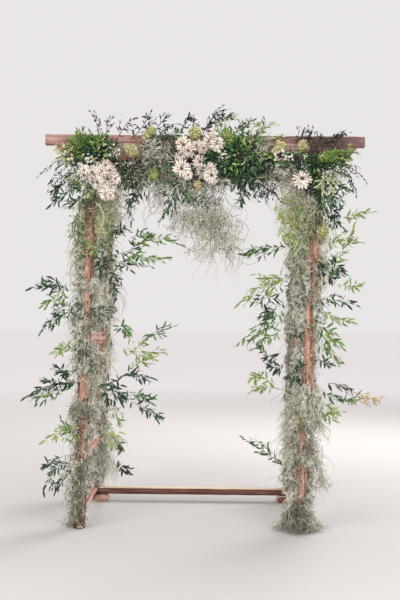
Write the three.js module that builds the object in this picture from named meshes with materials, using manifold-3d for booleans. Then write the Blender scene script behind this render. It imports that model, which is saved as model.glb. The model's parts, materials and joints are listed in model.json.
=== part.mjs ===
// A rustic wedding chuppah: four natural cedar poles carry a two-board front header, a rear header
// and side rails. Spanish moss, cut greenery and daisies are tied to the frame as its dressing.
// Millimetres, +Z up, +X to the right and +Y to the rear as seen from the front.
// The origin is on the ground, at the centre of the bounding box.

import * as THREE from "three";
import { mergeVertices } from "three/addons/utils/BufferGeometryUtils.js";
import Module from "manifold-3d";

const wasm = await Module();
wasm.setup();

// Driving dimensions of the timber.
const POLE_PITCH_Y = 900; // from the front poles' axes to the rear poles' axes
const FRONT_Y = -POLE_PITCH_Y / 2;
const REAR_Y = POLE_PITCH_Y / 2;
const POLE_TOP = 2404;
const POLE_RADIUS = 32;
const LET_IN = 6; // how deep a board is let into the round poles
const FIT = 0.4; // clearance between pieces that touch
const SOFT_FIT = 0.6; // clearance between dressing and what carries it

const BOARD_THICKNESS = 40;
const HEADER_BOTTOM = 2253;
const HEADER_SPLIT = 2356; // where the cap board sits on the header beam
const HEADER_TOP = 2420;
const CAP_LENGTH = 1972;
const BEAM_LEFT = -930;
const BEAM_RIGHT = 942;
const BEAM_BEVEL_LEFT = 108;
const BEAM_BEVEL_RIGHT = 82;

const REAR_HEADER_BOTTOM = 2332;
const REAR_HEADER_TOP = 2410;
const REAR_HEADER_LEFT = -762;
const REAR_HEADER_RIGHT = 770;

// Side rails lie between the front and rear poles and are nailed to them at a slant.
const RAIL_WIDTH = 56;
const RAIL_LEVELS = {
  bottom: [48, 122],
  lower: [400, 465],
  middle: [1116, 1198],
  top: [2236, 2310],
};

// The low rear beam lies on two half-round billets, between the bottom side rails.
const GROUND_BEAM_BOTTOM = 44;
const GROUND_BEAM_HEIGHT = 50;
const GROUND_BEAM_DEPTH = 74;
const GROUND_BEAM_LEFT = -738;
const GROUND_BEAM_RIGHT = 602;
const BILLET_WIDTH = 100;
const BILLET_LENGTH = 80;
const BILLET_SHOWS = 22; // how far a billet stands out in front of the beam
const BILLET_X = [-712, 580];

// Each pole's centreline leans and bends as the tree grew: height, x and radius.
const FRONT_LEFT = [
  [0, -752, 36],
  [500, -741, 35],
  [1100, -730, 33],
  [1700, -715, 32],
  [POLE_TOP, -697, 31],
];
const FRONT_RIGHT = [
  [0, 600, 36],
  [300, 614, 35],
  [1100, 650, 33],
  [1750, 684, 32],
  [POLE_TOP, 703, 31],
];
const REAR_LEFT = [
  [0, -772, 37],
  [420, -756, 35],
  [1080, -732, 33],
  [1800, -712, 32],
  [POLE_TOP, -700, 31],
];
const REAR_RIGHT = [
  [0, 632, 37],
  [400, 640, 35],
  [1100, 662, 33],
  [1750, 684, 32],
  [POLE_TOP, 704, 31],
];

// Finishes.
const POLE_WOOD = new THREE.MeshStandardMaterial({ color: 0xa8705c, roughness: 0.85 });
const BOARD_WOOD = new THREE.MeshStandardMaterial({ color: 0x93685c, roughness: 0.88 });
const RAIL_WOOD = new THREE.MeshStandardMaterial({ color: 0x9a6a63, roughness: 0.88 });
const MOSS = new THREE.MeshStandardMaterial({ color: 0x9a9c84, roughness: 0.95 });
const LEAVES = new THREE.MeshStandardMaterial({ color: 0x3f6a34, roughness: 0.6 });
const PETALS = new THREE.MeshStandardMaterial({ color: 0xf0e2da, roughness: 0.6 });

// A closed geometry as a solid that can be joined and cut.
function solidOf(geometry) {
  const bare = geometry.clone();
  bare.deleteAttribute("normal");
  bare.deleteAttribute("uv");
  const merged = mergeVertices(bare, 1e-3);
  return new wasm.Manifold(
    new wasm.Mesh({
      numProp: 3,
      vertProperties: new Float32Array(merged.attributes.position.array),
      triVerts: new Uint32Array(merged.index.array),
    }),
  );
}

// A solid as a geometry for a mesh.
function geometryOf(solid) {
  const mesh = solid.getMesh();
  const geometry = new THREE.BufferGeometry();
  geometry.setAttribute("position", new THREE.BufferAttribute(mesh.vertProperties, 3));
  geometry.setIndex(new THREE.BufferAttribute(mesh.triVerts, 1));
  geometry.computeVertexNormals();
  return geometry;
}

const join = (solids) => solids.reduce((all, one) => all.add(one));

// The main piece that is left after a cut.
const largest = (solid) =>
  solid.decompose().reduce((best, one) => (one.volume() > best.volume() ? one : best));

// A straight timber between two corners.
function block(low, high, grow = 0) {
  const size = high.map((value, i) => value - low[i] + 2 * grow);
  const geometry = new THREE.BoxGeometry(...size);
  geometry.translate(...high.map((value, i) => (value + low[i]) / 2));
  return solidOf(geometry);
}

// x and radius of a pole at a height.
function poleAt(levels, z) {
  const last = levels.length - 1;
  let i = 0;
  while (i < last - 1 && z > levels[i + 1][0]) i += 1;
  const [z0, x0, r0] = levels[i];
  const [z1, x1, r1] = levels[i + 1];
  const t = THREE.MathUtils.clamp((z - z0) / (z1 - z0), 0, 1);
  return { x: THREE.MathUtils.lerp(x0, x1, t), radius: THREE.MathUtils.lerp(r0, r1, t) };
}

// A fluted natural pole, standing on its flat sawn foot.
const POLE_SIDES = 14;
const POLE_STEPS = 12;
const FLUTE = 0.045; // how far the lobes of the trunk stand out, as a share of the radius
function pole(levels, y, grow = 0) {
  const geometry = new THREE.CylinderGeometry(1, 1, POLE_TOP, POLE_SIDES, POLE_STEPS);
  geometry.rotateX(Math.PI / 2);
  geometry.translate(0, 0, POLE_TOP / 2);
  const place = geometry.attributes.position;
  for (let i = 0; i < place.count; i += 1) {
    const z = place.getZ(i);
    const { x, radius } = poleAt(levels, z);
    const angle = Math.atan2(place.getY(i), place.getX(i));
    const reach = radius * (1 + FLUTE * Math.sin(3 * angle + z / 500)) + grow;
    place.setXYZ(i, x + place.getX(i) * reach, y + place.getY(i) * reach, z);
  }
  return solidOf(geometry);
}

// A side rail from the axis of the front pole to the axis of the rear pole.
function rail(front, rear, [bottom, top], grow = 0) {
  const middle = (bottom + top) / 2;
  const geometry = new THREE.BoxGeometry(
    RAIL_WIDTH + 2 * grow,
    POLE_PITCH_Y,
    top - bottom + 2 * grow,
  );
  geometry.translate(0, 0, middle);
  const place = geometry.attributes.position;
  const x0 = poleAt(front, middle).x;
  const x1 = poleAt(rear, middle).x;
  for (let i = 0; i < place.count; i += 1) {
    const t = (place.getY(i) - FRONT_Y) / POLE_PITCH_Y;
    place.setX(i, place.getX(i) + THREE.MathUtils.lerp(x0, x1, t));
  }
  return solidOf(geometry);
}

// A half-round billet: flat below, and cut flat on top where the beam lies.
const BILLET_STEPS = 8;
function billet(x, frontY, grow = 0) {
  const outline = new THREE.Shape();
  const half = BILLET_WIDTH / 2 + grow;
  outline.moveTo(-half, 0);
  outline.lineTo(half, 0);
  for (let i = 1; i < BILLET_STEPS; i += 1) {
    const angle = (Math.PI * i) / BILLET_STEPS;
    const height = Math.min(BILLET_WIDTH / 2, (BILLET_WIDTH / 2) * Math.sin(angle) * 1.1);
    outline.lineTo(half * Math.cos(angle), Math.min(height, GROUND_BEAM_BOTTOM - FIT) + grow);
  }
  const geometry = new THREE.ExtrudeGeometry(outline, {
    depth: BILLET_LENGTH + 2 * grow,
    bevelEnabled: false,
  });
  geometry.rotateX(Math.PI / 2);
  geometry.translate(x, frontY + BILLET_LENGTH + grow, 0);
  return solidOf(geometry);
}

// The deep header beam, its ends sawn back at a slant.
function headerBeam(frontY, grow = 0) {
  const outline = new THREE.Shape();
  outline.moveTo(BEAM_LEFT - grow, HEADER_SPLIT - FIT + grow);
  outline.lineTo(BEAM_LEFT + BEAM_BEVEL_LEFT - grow, HEADER_BOTTOM - grow);
  outline.lineTo(BEAM_RIGHT - BEAM_BEVEL_RIGHT + grow, HEADER_BOTTOM - grow);
  outline.lineTo(BEAM_RIGHT + grow, HEADER_SPLIT - FIT + grow);
  const geometry = new THREE.ExtrudeGeometry(outline, {
    depth: BOARD_THICKNESS + 2 * grow,
    bevelEnabled: false,
  });
  geometry.rotateX(Math.PI / 2);
  geometry.translate(0, frontY + BOARD_THICKNESS + grow, 0);
  return solidOf(geometry);
}

// The low rear beam is a split rail: flat on top and behind, round in front.
const BEAM_ROUND_STEPS = 5;
function groundBeam(rearY, grow = 0) {
  const top = GROUND_BEAM_BOTTOM + GROUND_BEAM_HEIGHT + grow;
  const bottom = GROUND_BEAM_BOTTOM - grow;
  const depth = GROUND_BEAM_DEPTH + 2 * grow;
  const round = (top - bottom) * 0.45;
  const outline = new THREE.Shape();
  outline.moveTo(0, bottom);
  outline.lineTo(0, top);
  outline.lineTo(-depth, top);
  outline.lineTo(-depth, bottom + round);
  for (let i = 1; i <= BEAM_ROUND_STEPS; i += 1) {
    const angle = ((Math.PI / 2) * i) / BEAM_ROUND_STEPS;
    outline.lineTo(-depth + round * (1 - Math.cos(angle)), bottom + round * (1 - Math.sin(angle)));
  }
  const geometry = new THREE.ExtrudeGeometry(outline, {
    depth: GROUND_BEAM_RIGHT - GROUND_BEAM_LEFT + 2 * grow,
    bevelEnabled: false,
  });
  // The outline's own x is the beam's depth, its y the height, and the extrusion the length.
  geometry.applyMatrix4(
    new THREE.Matrix4().makeBasis(
      new THREE.Vector3(0, 1, 0),
      new THREE.Vector3(0, 0, 1),
      new THREE.Vector3(1, 0, 0),
    ),
  );
  geometry.translate(GROUND_BEAM_LEFT - grow, rearY + grow, 0);
  return solidOf(geometry);
}

const seatFront = FRONT_Y - POLE_RADIUS + LET_IN; // back face of the front header
const seatRear = REAR_Y + POLE_RADIUS - LET_IN; // front face of the rear header
const beamBack = REAR_Y - POLE_RADIUS + LET_IN; // back face of the ground beam
const beamFront = beamBack - GROUND_BEAM_DEPTH;

const capBoard = (grow) =>
  block(
    [-CAP_LENGTH / 2, seatFront - BOARD_THICKNESS, HEADER_SPLIT],
    [CAP_LENGTH / 2, seatFront, HEADER_TOP],
    grow,
  );
const frontBeam = (grow) => headerBeam(seatFront - BOARD_THICKNESS, grow);
const rearHeader = (grow) =>
  block(
    [REAR_HEADER_LEFT, seatRear, REAR_HEADER_BOTTOM],
    [REAR_HEADER_RIGHT, seatRear + BOARD_THICKNESS, REAR_HEADER_TOP],
    grow,
  );

const poles = {
  front_left_pole: (grow) => pole(FRONT_LEFT, FRONT_Y, grow),
  front_right_pole: (grow) => pole(FRONT_RIGHT, FRONT_Y, grow),
  rear_left_pole: (grow) => pole(REAR_LEFT, REAR_Y, grow),
  rear_right_pole: (grow) => pole(REAR_RIGHT, REAR_Y, grow),
};
const boards = {
  front_cap_board: capBoard,
  front_header_beam: frontBeam,
  rear_header_board: rearHeader,
  rear_ground_beam: (grow) => groundBeam(beamBack, grow),
};
const billets = {
  rear_left_billet: (grow) => billet(BILLET_X[0], beamFront - BILLET_SHOWS, grow),
  rear_right_billet: (grow) => billet(BILLET_X[1], beamFront - BILLET_SHOWS, grow),
};
const rails = {};
for (const [level, heights] of Object.entries(RAIL_LEVELS)) {
  rails[`left_${level}_rail`] = (grow) => rail(FRONT_LEFT, REAR_LEFT, heights, grow);
  rails[`right_${level}_rail`] = (grow) => rail(FRONT_RIGHT, REAR_RIGHT, heights, grow);
}

const everyGrown = (makers, grow) => join(Object.values(makers).map((make) => make(grow)));

// Dressing is built from clumps and from flat leafy blades.
// A clump is an ellipsoid: centre x, y, z, then half-sizes along x, y, z.
const CLUMP_DETAIL = 1;
const CLUMP_ROUGHNESS = 0.07;
function clump([x, y, z, rx, ry, rz], grow) {
  const geometry = new THREE.IcosahedronGeometry(1, CLUMP_DETAIL);
  const place = geometry.attributes.position;
  for (let i = 0; i < place.count; i += 1) {
    const [ux, uy, uz] = [place.getX(i), place.getY(i), place.getZ(i)];
    const rough = 1 + CLUMP_ROUGHNESS * Math.sin(5 * ux + 7 * uy + 4 * uz + x + z);
    place.setXYZ(
      i,
      x + ux * (rx * rough + grow),
      y + uy * (ry * rough + grow),
      z + uz * (rz * rough + grow),
    );
  }
  return solidOf(geometry);
}

// A blade is a long flat diamond from its root to its tip: a leafy twig.
function blade([x0, y0, z0, x1, y1, z1, width, thickness], grow) {
  const root = new THREE.Vector3(x0, y0, z0);
  const tip = new THREE.Vector3(x1, y1, z1);
  const along = tip.clone().sub(root);
  const length = along.length();
  const geometry = new THREE.OctahedronGeometry(1, 0);
  geometry.scale(width / 2 + grow, thickness / 2 + grow, length / 2 + grow);
  const zAxis = along.normalize();
  const xAxis = new THREE.Vector3(0, 1, 0).cross(zAxis).normalize();
  const yAxis = zAxis.clone().cross(xAxis);
  geometry.applyMatrix4(new THREE.Matrix4().makeBasis(xAxis, yAxis, zAxis));
  const middle = root.add(tip).multiplyScalar(0.5);
  geometry.translate(middle.x, middle.y, middle.z);
  return solidOf(geometry);
}

// Clumps that follow a pole: height, offset x, offset y, half-sizes along x, y, z.
const alongPole = (levels, y, clumps) =>
  clumps.map(([z, dx, dy, rx, ry, rz]) => [poleAt(levels, z).x + dx, y + dy, z, rx, ry, rz]);

// The dressing in the order in which it is cut: each piece gives way to those before it.
const HEADER_FACE = seatFront - BOARD_THICKNESS;
const dressing = [
  {
    name: "left_daisies",
    finish: PETALS,
    clumps: [
      [-690, HEADER_FACE - 60, 2170, 88, 46, 84],
      [-610, HEADER_FACE - 56, 2160, 76, 42, 86],
      [-640, HEADER_FACE - 50, 2070, 66, 38, 66],
    ],
  },
  {
    name: "middle_upper_daisies",
    finish: PETALS,
    clumps: [
      [-138, HEADER_FACE - 64, 2362, 72, 40, 92],
      [-80, HEADER_FACE - 62, 2330, 70, 40, 66],
      [30, HEADER_FACE - 60, 2398, 92, 38, 72],
    ],
  },
  {
    name: "middle_lower_daisies",
    finish: PETALS,
    clumps: [
      [-128, HEADER_FACE - 62, 2196, 62, 40, 56],
      [-50, HEADER_FACE - 52, 2200, 50, 30, 40],
      [20, HEADER_FACE - 66, 2226, 78, 42, 88],
      [56, HEADER_FACE - 62, 2176, 70, 40, 56],
    ],
  },
  {
    name: "right_daisies",
    finish: PETALS,
    clumps: [
      [600, FRONT_Y - 44, 2158, 66, 40, 66],
      [566, FRONT_Y - 34, 2096, 50, 34, 56],
    ],
  },
  {
    name: "left_header_garland",
    finish: LEAVES,
    clumps: [
      [-772, HEADER_FACE - 34, 2370, 150, 84, 104],
      [-650, HEADER_FACE - 30, 2318, 118, 74, 96],
      [-756, HEADER_FACE - 30, 2240, 110, 66, 92],
      [-560, HEADER_FACE - 24, 2290, 84, 56, 74],
    ],
    blades: [
      [-800, HEADER_FACE - 40, 2240, -1046, HEADER_FACE - 60, 2120, 110, 50],
      [-800, HEADER_FACE - 40, 2200, -956, HEADER_FACE - 60, 1960, 120, 50],
      [-700, HEADER_FACE + 10, 2380, -640, HEADER_FACE + 10, 2540, 90, 36],
    ],
  },
  {
    name: "middle_header_garland",
    finish: LEAVES,
    clumps: [
      [-300, HEADER_FACE - 26, 2330, 104, 64, 104],
      [-200, HEADER_FACE - 26, 2290, 110, 58, 120],
      [-40, HEADER_FACE - 20, 2330, 130, 60, 116],
      [110, HEADER_FACE - 26, 2330, 130, 66, 120],
      [240, HEADER_FACE - 34, 2240, 140, 78, 140],
      [330, HEADER_FACE - 24, 2230, 96, 62, 110],
    ],
    blades: [
      [-330, HEADER_FACE + 10, 2380, -350, HEADER_FACE + 10, 2570, 120, 36],
      [-80, HEADER_FACE + 10, 2390, -90, HEADER_FACE + 10, 2560, 130, 36],
      [130, HEADER_FACE + 10, 2390, 180, HEADER_FACE + 10, 2596, 120, 36],
    ],
  },
  {
    name: "right_header_garland",
    finish: LEAVES,
    clumps: [
      [410, HEADER_FACE - 22, 2330, 84, 54, 94],
      [500, HEADER_FACE - 26, 2320, 90, 56, 84],
      [620, HEADER_FACE - 26, 2340, 100, 60, 92],
      [740, HEADER_FACE - 34, 2300, 130, 74, 84],
      [850, HEADER_FACE - 26, 2320, 92, 56, 62],
      [770, HEADER_FACE - 20, 2130, 74, 56, 140],
    ],
    blades: [
      [800, HEADER_FACE - 20, 2220, 990, HEADER_FACE - 40, 2080, 100, 44],
      [780, HEADER_FACE - 20, 2040, 1046, HEADER_FACE - 20, 1962, 110, 44],
      [640, HEADER_FACE + 10, 2380, 720, HEADER_FACE + 10, 2480, 90, 36],
    ],
  },
  {
    name: "middle_moss_curtain",
    finish: MOSS,
    clumps: [
      [-130, HEADER_FACE + 26, 2080, 84, 50, 190],
      [0, HEADER_FACE + 24, 1980, 96, 52, 300],
      [130, HEADER_FACE + 26, 2030, 92, 50, 240],
    ],
  },
  {
    name: "left_moss_curtain",
    finish: MOSS,
    clumps: [
      [-560, FRONT_Y + 26, 2120, 84, 62, 200],
      [-610, FRONT_Y + 32, 1940, 92, 58, 190],
    ],
  },
  {
    name: "right_moss_curtain",
    finish: MOSS,
    clumps: [
      [592, FRONT_Y + 26, 2090, 80, 62, 200],
      [590, FRONT_Y + 32, 1880, 88, 58, 200],
    ],
  },
  {
    name: "front_left_upper_moss",
    finish: MOSS,
    clumps: alongPole(FRONT_LEFT, FRONT_Y, [
      [1900, -40, 14, 74, 58, 170],
      [1720, -46, 16, 82, 60, 160],
      [1520, -24, 18, 108, 66, 170],
      [1330, -18, 16, 118, 70, 160],
    ]),
    blades: [
      [-760, FRONT_Y, 1450, -1040, FRONT_Y - 40, 1510, 120, 44],
      [-760, FRONT_Y, 1370, -1010, FRONT_Y - 30, 1280, 120, 44],
    ],
  },
  {
    name: "front_left_lower_moss",
    finish: MOSS,
    clumps: alongPole(FRONT_LEFT, FRONT_Y, [
      [1080, -4, 14, 104, 66, 130],
      [900, 0, 12, 96, 62, 140],
      [690, 10, 12, 112, 70, 130],
      [500, 16, 16, 108, 66, 140],
      [300, 14, 14, 104, 64, 150],
      [120, -2, 6, 72, 60, 120],
    ]),
    blades: [
      [-780, FRONT_Y, 900, -1080, FRONT_Y - 30, 810, 120, 44],
      [-780, FRONT_Y, 420, -960, FRONT_Y - 40, 300, 120, 44],
    ],
  },
  {
    name: "front_right_upper_moss",
    finish: MOSS,
    clumps: alongPole(FRONT_RIGHT, FRONT_Y, [
      [1800, 50, 18, 72, 56, 150],
      [1640, 0, 20, 104, 62, 140],
      [1450, -8, 18, 112, 66, 170],
      [1270, -30, 16, 104, 64, 150],
    ]),
    blades: [
      [720, FRONT_Y, 1640, 1056, FRONT_Y - 20, 1920, 120, 44],
      [720, FRONT_Y, 1400, 950, FRONT_Y - 20, 1360, 110, 44],
    ],
  },
  {
    name: "front_right_lower_moss",
    finish: MOSS,
    clumps: alongPole(FRONT_RIGHT, FRONT_Y, [
      [1080, -40, 16, 88, 60, 140],
      [860, -6, 8, 124, 76, 130],
      [660, -4, 10, 112, 70, 140],
      [480, 6, 14, 112, 66, 130],
      [300, -34, 14, 70, 54, 160],
      [90, 0, -10, 110, 96, 110],
      [40, -60, -60, 110, 80, 60],
    ]),
    blades: [[700, FRONT_Y, 850, 1080, FRONT_Y - 20, 800, 110, 44]],
  },
  {
    name: "rear_left_upper_moss",
    finish: MOSS,
    clumps: alongPole(REAR_LEFT, REAR_Y, [
      [2060, 14, -10, 86, 62, 200],
      [1820, 40, -8, 94, 64, 180],
      [1560, 64, -6, 106, 68, 180],
      [1330, 70, -8, 100, 66, 150],
    ]),
  },
  {
    name: "rear_left_lower_moss",
    finish: MOSS,
    clumps: alongPole(REAR_LEFT, REAR_Y, [
      [1060, 58, -8, 96, 62, 150],
      [850, 66, -6, 106, 66, 150],
      [620, 62, -8, 106, 64, 150],
      [400, 56, -6, 98, 60, 150],
      [220, 34, 0, 84, 56, 110],
    ]),
  },
  {
    name: "rear_right_upper_moss",
    finish: MOSS,
    clumps: alongPole(REAR_RIGHT, REAR_Y, [
      [2050, 0, -8, 84, 62, 200],
      [1810, -10, -8, 92, 64, 170],
      [1580, 0, -6, 102, 66, 160],
      [1350, 2, -8, 96, 64, 150],
    ]),
  },
  {
    name: "rear_right_lower_moss",
    finish: MOSS,
    clumps: alongPole(REAR_RIGHT, REAR_Y, [
      [1070, -10, -8, 94, 62, 150],
      [860, -18, -6, 100, 66, 150],
      [640, -20, -8, 98, 62, 150],
      [430, -14, -6, 88, 60, 140],
      [240, -14, 0, 76, 56, 110],
    ]),
  },
  {
    name: "rear_header_moss",
    finish: MOSS,
    clumps: [
      [-500, seatRear + 18, 2366, 150, 66, 90],
      [-270, seatRear + 18, 2384, 156, 62, 76],
      [-30, seatRear + 16, 2388, 160, 64, 72],
      [220, seatRear + 18, 2384, 160, 62, 78],
      [470, seatRear + 18, 2370, 160, 66, 88],
    ],
  },
];

const dressingSolid = ({ clumps, blades = [] }, grow) =>
  join([...clumps.map((one) => clump(one, grow)), ...blades.map((one) => blade(one, grow))]);

// The ground under the dressing, which only the poles' feet touch.
const GROUND_CLEARANCE = 3;
const GROUND_REACH = 2000;
const ground = block(
  [-GROUND_REACH, -GROUND_REACH, -GROUND_REACH],
  [GROUND_REACH, GROUND_REACH, GROUND_CLEARANCE],
);

const chuppah = new THREE.Group();
function addPiece(name, solid, finish) {
  const mesh = new THREE.Mesh(geometryOf(solid), finish);
  mesh.name = name;
  chuppah.add(mesh);
}

// Timber: poles are notched for the boards, and rails are coped to the poles.
const grownPoles = everyGrown(poles, FIT);
const grownBoards = everyGrown(boards, FIT);
for (const [name, make] of Object.entries(poles)) {
  addPiece(name, largest(make(0).subtract(grownBoards)), POLE_WOOD);
}
for (const [name, make] of Object.entries(rails)) {
  addPiece(name, largest(make(0).subtract(grownPoles)), RAIL_WOOD);
}
const grownRails = everyGrown(rails, FIT);
for (const [name, make] of Object.entries(boards)) {
  addPiece(name, largest(make(0).subtract(grownRails)), BOARD_WOOD);
}
for (const [name, make] of Object.entries(billets)) {
  addPiece(name, make(0), RAIL_WOOD);
}

// Dressing: each piece is cut clear of the timber and of the dressing before it.
let taken = join([
  ground,
  everyGrown(poles, SOFT_FIT),
  everyGrown(boards, SOFT_FIT),
  everyGrown(rails, SOFT_FIT),
  everyGrown(billets, SOFT_FIT),
]);
for (const piece of dressing) {
  addPiece(piece.name, largest(dressingSolid(piece, 0).subtract(taken)), piece.finish);
  taken = taken.add(dressingSolid(piece, SOFT_FIT));
}

// The origin goes to the centre of the bounding box, on the ground.
const bounds = new THREE.Box3().setFromObject(chuppah);
const centre = bounds.getCenter(new THREE.Vector3());
chuppah.position.set(-centre.x, -centre.y, 0);

export default chuppah;
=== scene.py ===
import json
import math

import bpy
import numpy as np
from mathutils import Matrix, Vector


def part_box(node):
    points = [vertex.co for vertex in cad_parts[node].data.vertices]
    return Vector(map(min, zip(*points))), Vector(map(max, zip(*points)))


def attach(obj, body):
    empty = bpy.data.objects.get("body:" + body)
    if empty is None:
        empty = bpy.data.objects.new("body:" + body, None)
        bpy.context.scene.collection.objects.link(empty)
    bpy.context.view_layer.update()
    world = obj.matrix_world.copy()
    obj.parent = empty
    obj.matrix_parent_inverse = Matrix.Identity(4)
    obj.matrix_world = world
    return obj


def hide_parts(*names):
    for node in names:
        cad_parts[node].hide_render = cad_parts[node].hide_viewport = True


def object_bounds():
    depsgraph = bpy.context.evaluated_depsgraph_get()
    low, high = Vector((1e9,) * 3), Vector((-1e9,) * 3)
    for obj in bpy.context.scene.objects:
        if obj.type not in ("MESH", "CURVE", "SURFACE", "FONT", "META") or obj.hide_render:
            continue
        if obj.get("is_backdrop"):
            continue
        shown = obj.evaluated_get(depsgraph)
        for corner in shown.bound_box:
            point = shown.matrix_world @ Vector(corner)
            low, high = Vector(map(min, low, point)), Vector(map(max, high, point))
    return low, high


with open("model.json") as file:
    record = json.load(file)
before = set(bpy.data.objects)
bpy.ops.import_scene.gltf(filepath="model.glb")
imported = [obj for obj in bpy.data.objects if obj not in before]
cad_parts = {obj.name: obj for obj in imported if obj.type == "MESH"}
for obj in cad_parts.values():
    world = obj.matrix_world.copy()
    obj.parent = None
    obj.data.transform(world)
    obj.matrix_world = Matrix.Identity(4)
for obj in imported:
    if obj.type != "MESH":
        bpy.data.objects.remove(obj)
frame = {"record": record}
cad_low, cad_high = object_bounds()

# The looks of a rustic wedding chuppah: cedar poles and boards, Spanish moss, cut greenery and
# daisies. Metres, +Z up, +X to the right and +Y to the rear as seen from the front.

rng = np.random.default_rng(1311)
UP = np.array([0.0, 0.0, 1.0])
TO_REAR = np.array([0.0, 1.0, 0.0])
TURN = 2 * math.pi
THIRDS = (0, 2.0944, 4.18879)  # of a turn
GOLDEN_ANGLE = 2.39996


def rows_of(text):
    """A table as a list of rows: each word is one row, of numbers between commas."""
    return [tuple(float(number) for number in word.split(",")) for word in text.split()]


def lines_of(text):
    """A table as lists of words, one for each line."""
    return [line.split() for line in text.strip().split("\n")]


def xyz(x, y, z):
    return np.stack(np.broadcast_arrays(x, y, z), -1)


def unit(v):
    return v / np.maximum(np.linalg.norm(v, axis=-1, keepdims=True), 1e-9)


def random_unit(count):
    return unit(rng.normal(size=(count, 3)))


def random_tones(mean, spread, count):
    return np.clip(rng.normal(mean, spread, count), 0, 1)


def turned(angle, a, b):
    """Directions at angles in the plane of axes a and b, from a towards b."""
    angle = np.asarray(angle)[..., None]
    return a * np.cos(angle) + b * np.sin(angle)


def circle(count):
    """Evenly spaced angles, all the way round."""
    return np.linspace(0, TURN, count, endpoint=False)


def wrapped(angle):
    """The same angle from minus to plus half a turn."""
    return np.angle(np.exp(1j * angle))


def per_copy(value, count):
    """A number, or one for each copy, as a column."""
    return np.broadcast_to(np.asarray(value, float), count)[:, None]


# ---- where the timber is ----

MOUNTS = {m["name"]: m["pos_m"] for m in frame["record"]["mounts"]}
FRONT_Y = MOUNTS["front_left_foot"][1]
REAR_Y = MOUNTS["rear_left_foot"][1]


def box_of(node):
    """A CAD node's low and high corner, middle and size."""
    low, high = (np.array(corner, float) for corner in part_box(node))
    return low, high, (low + high) / 2, high - low


HEADER_FACE = box_of("front_cap_board")[0][1]  # the front face of both header boards
POLE_TOP = 2.404
EYE = (0.01, -5.578, 1.22)  # where the camera stands
BENDS = {  # height, x and radius of each pole's bends
    "front_left": "0,-.752,.036 .5,-.741,.035 1.1,-.73,.033 1.7,-.715,.032 2.404,-.697,.031",
    "front_right": "0,.6,.036 .3,.614,.035 1.1,.65,.033 1.75,.684,.032 2.404,.703,.031",
    "rear_left": "0,-.772,.037 .42,-.756,.035 1.08,-.732,.033 1.8,-.712,.032 2.404,-.7,.031",
    "rear_right": "0,.632,.037 .4,.64,.035 1.1,.662,.033 1.75,.684,.032 2.404,.704,.031",
}
BENDS = {pole: np.array(rows_of(bends)).T for pole, bends in BENDS.items()}
POLE_Y = {pole: FRONT_Y if pole.startswith("front") else REAR_Y for pole in BENDS}


def pole_at(pole, z):
    """x and radius of a pole at heights z."""
    heights, xs, radii = BENDS[pole]
    return np.interp(z, heights, xs), np.interp(z, heights, radii)


# ---- materials ----


def srgb(*colour):
    """A colour given as it looks on screen, 0 to 255, as linear RGBA."""
    shown = [c / 255 for c in colour]
    return (*(c / 12.92 if c <= 0.04045 else ((c + 0.055) / 1.055) ** 2.4 for c in shown), 1.0)


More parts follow.
